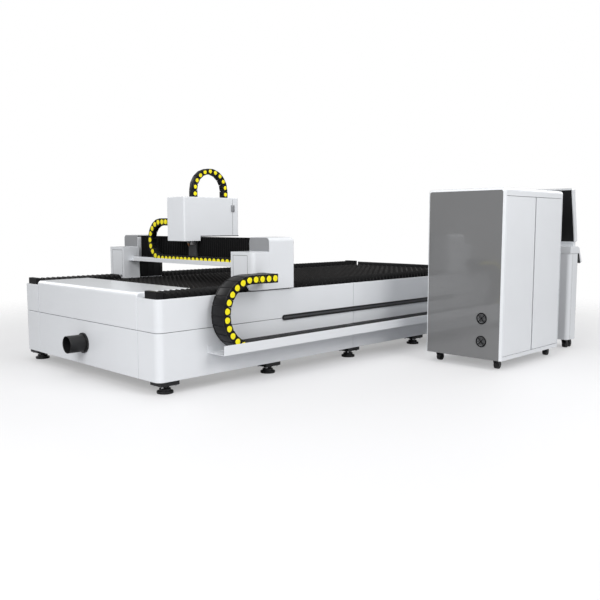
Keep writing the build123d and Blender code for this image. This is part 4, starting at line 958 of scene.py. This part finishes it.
class CUTTER_OT_gantry_trim(bpy.types.Operator):
    """Fit the gantry's grey end plates, whose grey is partly painted shade, door seals, tabs and shields, and the
    head cover's seal
    """

    bl_idname = "cutter.gantry_trim"
    bl_label = "Gantry trim"

    def execute(self, context):
        for side, name in ((-1, "right"), (1, "left")):
            self.end_plate(side, name)
            self.motor_door(side, name)
            self.shield(side, name)
        self.head_seam()
        return {"FINISHED"}

    @staticmethod
    def end_plate(side, name):
        """Grey plate on an end housing's front, above the motor cover; its grey is partly the plate's own colour
        and partly painted shade on that face.
        """
        a, b = low(f"{name}_end_housing"), high(f"{name}_end_housing")
        gap, margin, radius, steps = 0.003, 0.004, 0.036, 6
        out, sunk, edge = 0.002, 0.001, 0.0006
        bottom, top = high(f"{name}_motor_cover").z + gap, b.z - margin
        inner, outer = (a.y, b.y) if side > 0 else (b.y, a.y)
        inner += side * margin
        outer -= side * margin
        outline = [(inner, bottom), (outer, bottom)]
        for step in range(steps + 1):
            angle = step * pi / (2 * steps)
            outline.append((
                outer - side * radius * (1 - cos(angle)), top - radius * (1 - sin(angle))))
        outline.append((inner, top))
        bm = bmesh.new()
        add_prism(bm, outline, "x", a.x - out, a.x + sunk, edge)
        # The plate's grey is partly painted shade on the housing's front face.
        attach(piece_from(f"{name}_end_plate", bm, ["shade_grey"]), "gantry")

    @staticmethod
    def motor_door(side, name):
        """Black seal in the groove round a motor cover's door, and its two tabs."""
        a, b = low(f"{name}_motor_cover"), high(f"{name}_motor_cover")
        margin, corner, width, inset, edge = 0.028, 0.040, 0.003, 0.0001, 0.0003
        front, back = 0.0002, 0.0019
        tab_in, tab_half, tab_below, tab_above = 0.014, 0.016, 0.010, 0.012
        tab_out, tab_edge = 0.005, 0.0015
        screw_out, screw_up, screw_radius, screw_depth, screw_edge = 0.006, 0.001, 0.004, 0.003, 0.0006
        near, far = (a.y + margin, b.y - margin - corner)
        if side < 0:
            near, far = (a.y + margin + corner, b.y - margin)
        z0, z1 = a.z + margin, b.z - margin
        x0, x1 = a.x + front, a.x + back
        bm = bmesh.new()
        for z in (z0, z1 - width):
            add_box(bm, (x0, near + inset, z + inset), (x1, far - inset, z + width - inset), edge)
        for y in (near, far - width):
            add_box(bm, (x0, y + inset, z0 + width), (x1, y + width - inset, z1 - width), edge)
        for y in (near + tab_in, far - tab_in):
            add_box(
                bm, (a.x - tab_out, y - tab_half, z0 - tab_below), (a.x, y + tab_half, z0 + tab_above),
                tab_edge, 1)
            add_round(
                bm, (a.x - screw_out, y, z0 + screw_up), (-1, 0, 0), screw_radius, screw_depth,
                screw_edge, 1, HEXAGON)
        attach(piece_from(f"{name}_motor_door", bm, ["seal_black", "machined"]), "gantry")

    @staticmethod
    def shield(side, name):
        """Black spatter shield on an end housing's inner face, below the beam."""
        a, b = low(f"{name}_end_housing"), high(f"{name}_end_housing")
        face = a.y if side > 0 else b.y
        margin, thick, ribs, edge, rib_out, rib_in = 0.006, 0.006, 4, 0.0012, 1.7, 0.9
        x0, x1 = a.x + margin, b.x - margin
        z0, z1 = a.z + margin, low("beam_bellows").z - margin
        bm = bmesh.new()
        add_box(bm, (x0, face - side * thick, z0), (x1, face, z1), edge)
        for number in range(ribs):
            x = x0 + (number + 0.5) * (x1 - x0) / ribs
            add_box(
                bm, (x - margin, face - side * thick * rib_out, z0 + margin),
                (x + margin, face - side * thick * rib_in, z1 - margin), edge)
        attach(piece_from(f"{name}_shield", bm, ["black_steel"]), "gantry")

    @staticmethod
    def head_seam():
        """Black seal in the head cover's seam."""
        below_plate, below_top = 0.30, 0.015
        bm = bmesh.new()
        add_seal(
            bm, middle("head_latch").x, low("head_cover").y, high("carriage_plate").z - below_plate,
            high("head_cover").z - below_top)
        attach(piece_from("head_cover_seal", bm, ["seal_black"]), "carriage")


class CUTTER_OT_bed_trim(bpy.types.Operator):
    """Fit the trim's grey strip, which is a painted highlight, the rear guard strip and the bolts of the feet and
    the spigot
    """

    bl_idname = "cutter.bed_trim"
    bl_label = "Bed trim"

    def execute(self, context):
        self.painted_highlight_strip()
        self.rear_guard()
        self.foot_bolts()
        self.spigot_bolts()
        return {"FINISHED"}

    @staticmethod
    def painted_highlight_strip():
        """Grey strip in the slot of the side trim, with round ends; its grey is a painted highlight along the
        black bar.
        """
        a, b = low("side_trim"), high("side_trim")
        half, steps, front, back, edge = 0.0075, 8, 0.0016, 0.0039, 0.0004
        z, end = (a.z + b.z) / 2, (b.z - a.z) / 2
        outline = []
        for centre, start in ((b.x - end, -pi / 2), (a.x + end, pi / 2)):
            for step in range(steps + 1):
                angle = start + step * pi / steps
                outline.append((centre + half * cos(angle), z + half * sin(angle)))
        bm = bmesh.new()
        add_prism(bm, outline, "y", a.y + front, a.y + back, edge)
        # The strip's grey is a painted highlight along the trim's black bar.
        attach(piece_from("side_trim_painted_highlight", bm, ["frame_paint"]), "bed")

    @staticmethod
    def rear_guard():
        """Black guard strip on the rear panel's top, as high as the bellows, with its ribs."""
        a, b = low("rear_panel"), high("rear_panel")
        top = high("rail_bellows_rear").z
        margin, thick, rib, ribs, foot, rib_foot = 0.008, 0.010, 0.016, 12, 0.05, 0.045
        edge, rib_edge = 0.0015, 0.0006
        foot_start, foot_thick, rib_start, rib_sunk = thick * 0.9, thick * 0.6, thick * 0.8, thick * 0.5
        x0, y0, y1 = a.x + margin, a.y + margin, b.y - margin
        bm = bmesh.new()
        add_box(bm, (x0, y0, b.z), (x0 + thick, y1, top), edge)
        add_box(bm, (x0 + foot_start, y0, b.z), (x0 + foot, y1, b.z + foot_thick), edge)
        outline = [(x0 + rib_start, b.z + rib_sunk), (x0 + rib_foot, b.z + rib_sunk),
                   (x0 + rib_start, top - thick)]
        for number in range(ribs):
            y = y0 + (number + 0.5) * (y1 - y0) / ribs
            add_prism(bm, outline, "y", y - rib / 4, y + rib / 4, rib_edge)
        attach(piece_from("rear_guard", bm, ["black_steel"]), "bed")

    @staticmethod
    def foot_bolts():
        """Hexagon bolts through each foot's bracket plate."""
        a, b = low("levelling_feet"), high("levelling_feet")
        length, width, drop, feet = 0.17, 0.15, 0.034, 5
        reach, half = 0.064, 0.054
        washer, washer_thick, washer_sides = 0.013, 0.002, 20
        head, head_tall, head_drop, head_edge = 0.010, 0.010, 0.006, 0.001
        first, last = a.x + length / 2, b.x - length / 2
        under, down = b.z - drop, (0, 0, -1)
        rows = (a.y + width / 2, b.y - width / 2)
        bm = bmesh.new()
        for row, number, dx, dy in product(rows, range(feet), (-reach, reach), (-half, half)):
            x, y = first + number * (last - first) / (feet - 1) + dx, row + dy
            add_round(
                bm, (x, y, under - washer_thick / 2), down, washer, washer_thick, sides=washer_sides)
            add_round(
                bm, (x, y, under - head_drop), down, head, head_tall, head_edge, sides=HEXAGON)
        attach(piece_from("foot_bolts", bm, ["rail_steel"]), "bed")

    @staticmethod
    def spigot_bolts():
        """Screws round the exhaust spigot's flange."""
        spot = middle("exhaust_spigot")
        rim, flange, count, sides = 0.0065, 0.016, 8, 12
        screw, screw_depth, screw_out, screw_edge = 0.0045, 0.004, 0.002, 0.0008
        radius = span("exhaust_spigot").z / 2 - rim
        x = low("front_lower_panel").x - flange - screw_out
        bm = bmesh.new()
        for number in range(count):
            angle = (number + 0.5) * 2 * pi / count
            place = (x, spot.y + radius * cos(angle), spot.z + radius * sin(angle))
            add_round(bm, place, (-1, 0, 0), screw, screw_depth, screw_edge, sides=sides)
        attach(piece_from("spigot_screws", bm, ["black_steel"]), "bed")


class CUTTER_OT_cabinet_fittings(bpy.types.Operator):
    """Fit the fans behind the grilles and the seal between the doors"""

    bl_idname = "cutter.cabinet_fittings"
    bl_label = "Cabinet fittings"

    def execute(self, context):
        self.fans()
        self.door_post()
        return {"FINISHED"}

    @staticmethod
    def fans():
        """Dark fan with blades and guard rings in each fan opening."""
        a, b = low("fan_grilles"), high("fan_grilles")
        radius, y = (b.y - a.y) / 2, (a.y + b.y) / 2
        rim, ring_shares, ring_wide, ring_deep = 0.010, (0.28, 0.48, 0.68), 0.0022, 0.003
        back_place, back_thick, back_edge, back_sides = 0.022, 0.004, 0.0005, 40
        hub_place, hub_share, hub_deep, hub_edge = 0.012, 0.36, 0.014, 0.002
        blades, blade_place, blade_half, blade_tall, blade_edge = 7, 0.011, 0.001, 0.010, 0.0004
        blade_start, blade_end, blade_turn = 0.30, 0.94, Matrix.Rotation(radians(55), 4, "Y")
        opening, out = radius - rim, (1, 0, 0)
        bm = bmesh.new()
        for z in (a.z + radius, b.z - radius):
            for share in ring_shares:
                inner = radius * share
                add_ring(bm, ((a.x + b.x) / 2, y, z), out, inner + ring_wide, inner, ring_deep, material=1)
            add_round(bm, (b.x + back_place, y, z), out, opening, back_thick, back_edge, 0, back_sides)
            add_round(bm, (b.x + hub_place, y, z), out, opening * hub_share, hub_deep, hub_edge)
            for blade in range(blades):
                verts = add_box(
                    bm, (-blade_half, blade_start * opening, -blade_tall),
                    (blade_half, blade_end * opening, blade_tall), blade_edge)
                turn = Matrix.Rotation(blade * 2 * pi / blades, 4, "X") @ blade_turn
                place = Matrix.Translation((b.x + blade_place, y, z))
                bmesh.ops.transform(bm, matrix=place @ turn, verts=verts)
        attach(piece_from("cabinet_fans", bm, ["seal_black", "shade_grey"]), "bed")

    @staticmethod
    def door_post():
        """Black post behind the gap between the doors."""
        left, right = high("left_door"), low("right_door")
        x = (left.x + right.x) / 2
        end_gap, half, front, back, edge = 0.016, 0.030, 0.001, 0.022, 0.001
        lip_gap, lip_out, lip_in = 0.0015, 0.010, 0.002
        lip = (right.x - left.x) / 2 - lip_gap
        z0, z1 = low("left_door").z + end_gap, left.z - end_gap
        bm = bmesh.new()
        add_box(bm, (x - half, left.y + front, z0), (x + half, left.y + back, z1), edge)
        add_box(bm, (x - lip, left.y - lip_out, z0), (x + lip, left.y + lip_in, z1), edge)
        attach(piece_from("door_post", bm, ["seal_black"]), "bed")


class CUTTER_OT_console_fittings(bpy.types.Operator):
    """Fit the desk's black underside, which is painted shade under its overhang, the buttons and the column's seal
    of the console
    """

    bl_idname = "cutter.console_fittings"
    bl_label = "Console fittings"

    def execute(self, context):
        a, b = low("console_body"), high("console_body")
        self.underside(a, b)
        self.buttons(a, b)
        return {"FINISHED"}

    @staticmethod
    def underside(a, b):
        """Black wedge under the sloped desk, painted shade filling the recess under its overhang, and the seal in
        the column's seam.
        """
        top, nose_level, chin_level, back_level = 1.0, 0.899, 0.894, 0.912
        back_in, nose_in, lip, chin_in, inset, edge = 0.2102, 0.028, 0.004, 0.008, 0.002, 0.0008
        seam_in, seam_foot = 0.060, 0.004
        back, nose = a.x + back_in, b.x - nose_in
        outline = [(back, top), (back + lip, top), (nose, nose_level), (nose - chin_in, chin_level),
                   (back, back_level)]
        bm = bmesh.new()
        # The black wedge is painted shade in the recess under the desk's overhang.
        add_prism(bm, outline, "y", a.y + inset, b.y - inset, edge)
        add_seal(bm, a.x + seam_in, a.y, a.z + seam_foot, top)
        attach(piece_from("console_underside", bm, ["seal_black"]), "bed")

    @staticmethod
    def buttons(a, b):
        """Row of round buttons on the slope and the yellow collar of the emergency stop."""
        slope_in, slope_drop, slope_foot = 0.215, 0.015, 0.910
        count, first, pitch = 5, 0.17, 0.07
        bezel, bezel_out, bezel_deep, bezel_edge = 0.0155, 0.002, 0.004, 0.001
        cap, cap_out, cap_deep, cap_edge = 0.0115, 0.007, 0.007, 0.0015
        collar, collar_bore, collar_out, collar_deep = 0.030, 0.0125, 0.0012, 0.0024
        upper, lower = Vector((a.x + slope_in, 0, b.z - slope_drop)), Vector((b.x, 0, slope_foot))
        down = (lower - upper).normalized()
        out = Vector((-down.z, 0, down.x))
        spot = (upper + lower) / 2
        bm = bmesh.new()
        for number in range(count):
            place = spot + Vector((0, a.y + first + number * pitch, 0))
            add_round(bm, place + out * bezel_out, out, bezel, bezel_deep, bezel_edge)
            add_round(bm, place + out * cap_out, out, cap, cap_deep, cap_edge, number % 2 + 1)
        place = spot + Vector((0, middle("console_estop").y, 0))
        add_ring(bm, place + out * collar_out, out, collar, collar_bore, collar_deep, material=3)
        slots = ["machined", "seal_black", "white_paint", "cap_yellow"]
        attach(piece_from("console_buttons", bm, slots), "bed")


class CUTTER_OT_stage(bpy.types.Operator):
    """Set the floor, the light and the camera"""

    bl_idname = "cutter.stage"
    bl_label = "Stage"

    def execute(self, context):
        stage = context.scene.cutter_stage
        self.floor(stage)
        self.room(context.scene, stage)
        self.lamps(stage)
        self.camera(context.scene, stage)
        context.scene.view_settings.view_transform = "Standard"
        return {"FINISHED"}

    @staticmethod
    def floor(stage):
        """Pale floor that keeps the shadow and fades into the white room."""
        radius, sides, drop, fade_start, fade_end = 40.0, 96, 0.0005, 3.0, 7.5
        bm = bmesh.new()
        bmesh.ops.create_circle(bm, cap_ends=True, radius=radius, segments=sides)
        mesh = bpy.data.meshes.new("floor")
        bm.to_mesh(mesh)
        bm.free()
        material, tree, shader = new_material("pale_floor")
        shader.inputs["Base Color"].default_value = (0.50, 0.50, 0.51, 1)
        shader.inputs["Roughness"].default_value = 0.6
        shader.inputs["Emission Color"].default_value = (1, 1, 1, 1)
        path = tree.nodes.new("ShaderNodeLightPath").outputs
        glow = calc(tree, "MULTIPLY", path["Is Camera Ray"], stage.floor_glow)
        tree.links.new(glow, shader.inputs["Emission Strength"])
        reach = add_node(
            tree, "ShaderNodeVectorMath", {"operation": "LENGTH"}, (object_place(tree),))
        fade = add_node(
            tree, "ShaderNodeMapRange", {"interpolation_type": "SMOOTHSTEP"},
            Value=reach.outputs["Value"], From_Min=fade_start, From_Max=fade_end)
        clear = tree.nodes.new("ShaderNodeBsdfTransparent")
        mix = add_node(
            tree, "ShaderNodeMixShader", None,
            (fade.outputs["Result"], shader.outputs["BSDF"], clear.outputs["BSDF"]))
        tree.links.new(mix.outputs["Shader"], tree.nodes["Material Output"].inputs["Surface"])
        mesh.materials.append(material)
        floor = bpy.data.objects.new("floor", mesh)
        floor.location.z = -drop
        bpy.context.scene.collection.objects.link(floor)

    @staticmethod
    def room(scene, stage):
        """White to the eye and through glass, and an even soft light otherwise."""
        world = bpy.data.worlds.new("room")
        world.use_nodes = True
        tree = world.node_tree
        tree.nodes.clear()
        path = tree.nodes.new("ShaderNodeLightPath").outputs
        eye = calc(tree, "MAXIMUM", path["Is Camera Ray"], path["Is Transmission Ray"])
        white = (1, 1, 1, 1)
        light = add_node(tree, "ShaderNodeBackground", Color=white, Strength=stage.sky).outputs[0]
        seen = add_node(tree, "ShaderNodeBackground", Color=white, Strength=1.0).outputs[0]
        mix = add_node(tree, "ShaderNodeMixShader", None, (eye, light, seen))
        add_node(tree, "ShaderNodeOutputWorld", Surface=mix.outputs[0])
        scene.world = world

    @staticmethod
    def lamp(name, place, target, power, size):
        """Square soft lamp aimed at a point."""
        data = bpy.data.lights.new(name, "AREA")
        data.energy = power
        data.size = size
        lamp = bpy.data.objects.new(name, data)
        lamp.location = place
        aim = Vector(target) - Vector(place)
        lamp.rotation_euler = aim.to_track_quat("-Z", "Y").to_euler()
        bpy.context.scene.collection.objects.link(lamp)

    def lamps(self, stage):
        """Soft lamps before the bed's end, beside the cabinet, overhead, and two behind."""
        size, wide = 4.5, 6.0
        rows = (
            ("front_lamp", (-7.5, -2.5, 4.4), (-1, 0, 0.7), stage.front, size),
            ("side_lamp", (0.0, -7.0, 4.9), (-0.4, 0, 0.8), stage.side, size),
            ("top_lamp", (-0.8, 0.2, 6.5), (-0.3, 0.2, 0), stage.top, wide),
            ("left_lamp", (-3.0, 9.5, 5.0), (-0.4, 0.6, 0.7), stage.back, size),
            ("rear_lamp", (9.0, -2.0, 4.6), (1.0, 0.2, 0.7), stage.back, size))
        for row in rows:
            self.lamp(*row)

    @staticmethod
    def camera(scene, stage):
        """Camera at the photograph's viewing angle."""
        sensor, far = 36.0, 200.0
        data = bpy.data.cameras.new("camera")
        data.lens = stage.lens
        data.sensor_width, data.clip_end = sensor, far
        camera = bpy.data.objects.new("camera", data)
        camera.location = stage.camera_place
        flat = cos(stage.camera_drop)
        aim = Vector((
            flat * cos(stage.camera_turn), flat * sin(stage.camera_turn), -sin(stage.camera_drop)))
        camera.rotation_euler = aim.to_track_quat("-Z", "Y").to_euler()
        scene.collection.objects.link(camera)
        scene.camera = camera


class CUTTER_PT_panel(bpy.types.Panel):
    """Lists the machine's sizes, colours and operators"""

    bl_label = "Laser cutter"
    bl_space_type = "VIEW_3D"
    bl_region_type = "UI"
    bl_category = "Laser cutter"

    def draw(self, context):
        for group in (context.scene.cutter_sizes, context.scene.cutter_colours, context.scene.cutter_stage):
            for name in group.__annotations__:
                self.layout.prop(group, name)
        for operator in OPERATORS:
            self.layout.operator(operator.bl_idname)


OPERATORS = (
    CUTTER_OT_finishes, CUTTER_OT_long_chain, CUTTER_OT_cross_chain, CUTTER_OT_lift_chain,
    CUTTER_OT_rail_bellows, CUTTER_OT_beam_bellows, CUTTER_OT_slats, CUTTER_OT_gantry_trim,
    CUTTER_OT_bed_trim, CUTTER_OT_cabinet_fittings, CUTTER_OT_console_fittings, CUTTER_OT_stage)
GROUP_CLASSES = (CutterColours, CutterSizes, CutterStage)


def register():
    """Register the classes and hang their properties on the scene."""
    for cls in GROUP_CLASSES + OPERATORS + (CUTTER_PT_panel,):
        bpy.utils.register_class(cls)
    bpy.types.Scene.cutter_colours = bpy.props.PointerProperty(type=CutterColours)
    bpy.types.Scene.cutter_sizes = bpy.props.PointerProperty(type=CutterSizes)
    bpy.types.Scene.cutter_stage = bpy.props.PointerProperty(type=CutterStage)


def unregister():
    """Take the properties and the classes away again."""
    del bpy.types.Scene.cutter_stage
    del bpy.types.Scene.cutter_sizes
    del bpy.types.Scene.cutter_colours
    for cls in reversed(GROUP_CLASSES + OPERATORS + (CUTTER_PT_panel,)):
        bpy.utils.unregister_class(cls)


def main():
    """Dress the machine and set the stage."""
    register()
    for operator in OPERATORS:
        family, name = operator.bl_idname.split(".")
        getattr(getattr(bpy.ops, family), name)()


if __name__ == "__main__":
    main()
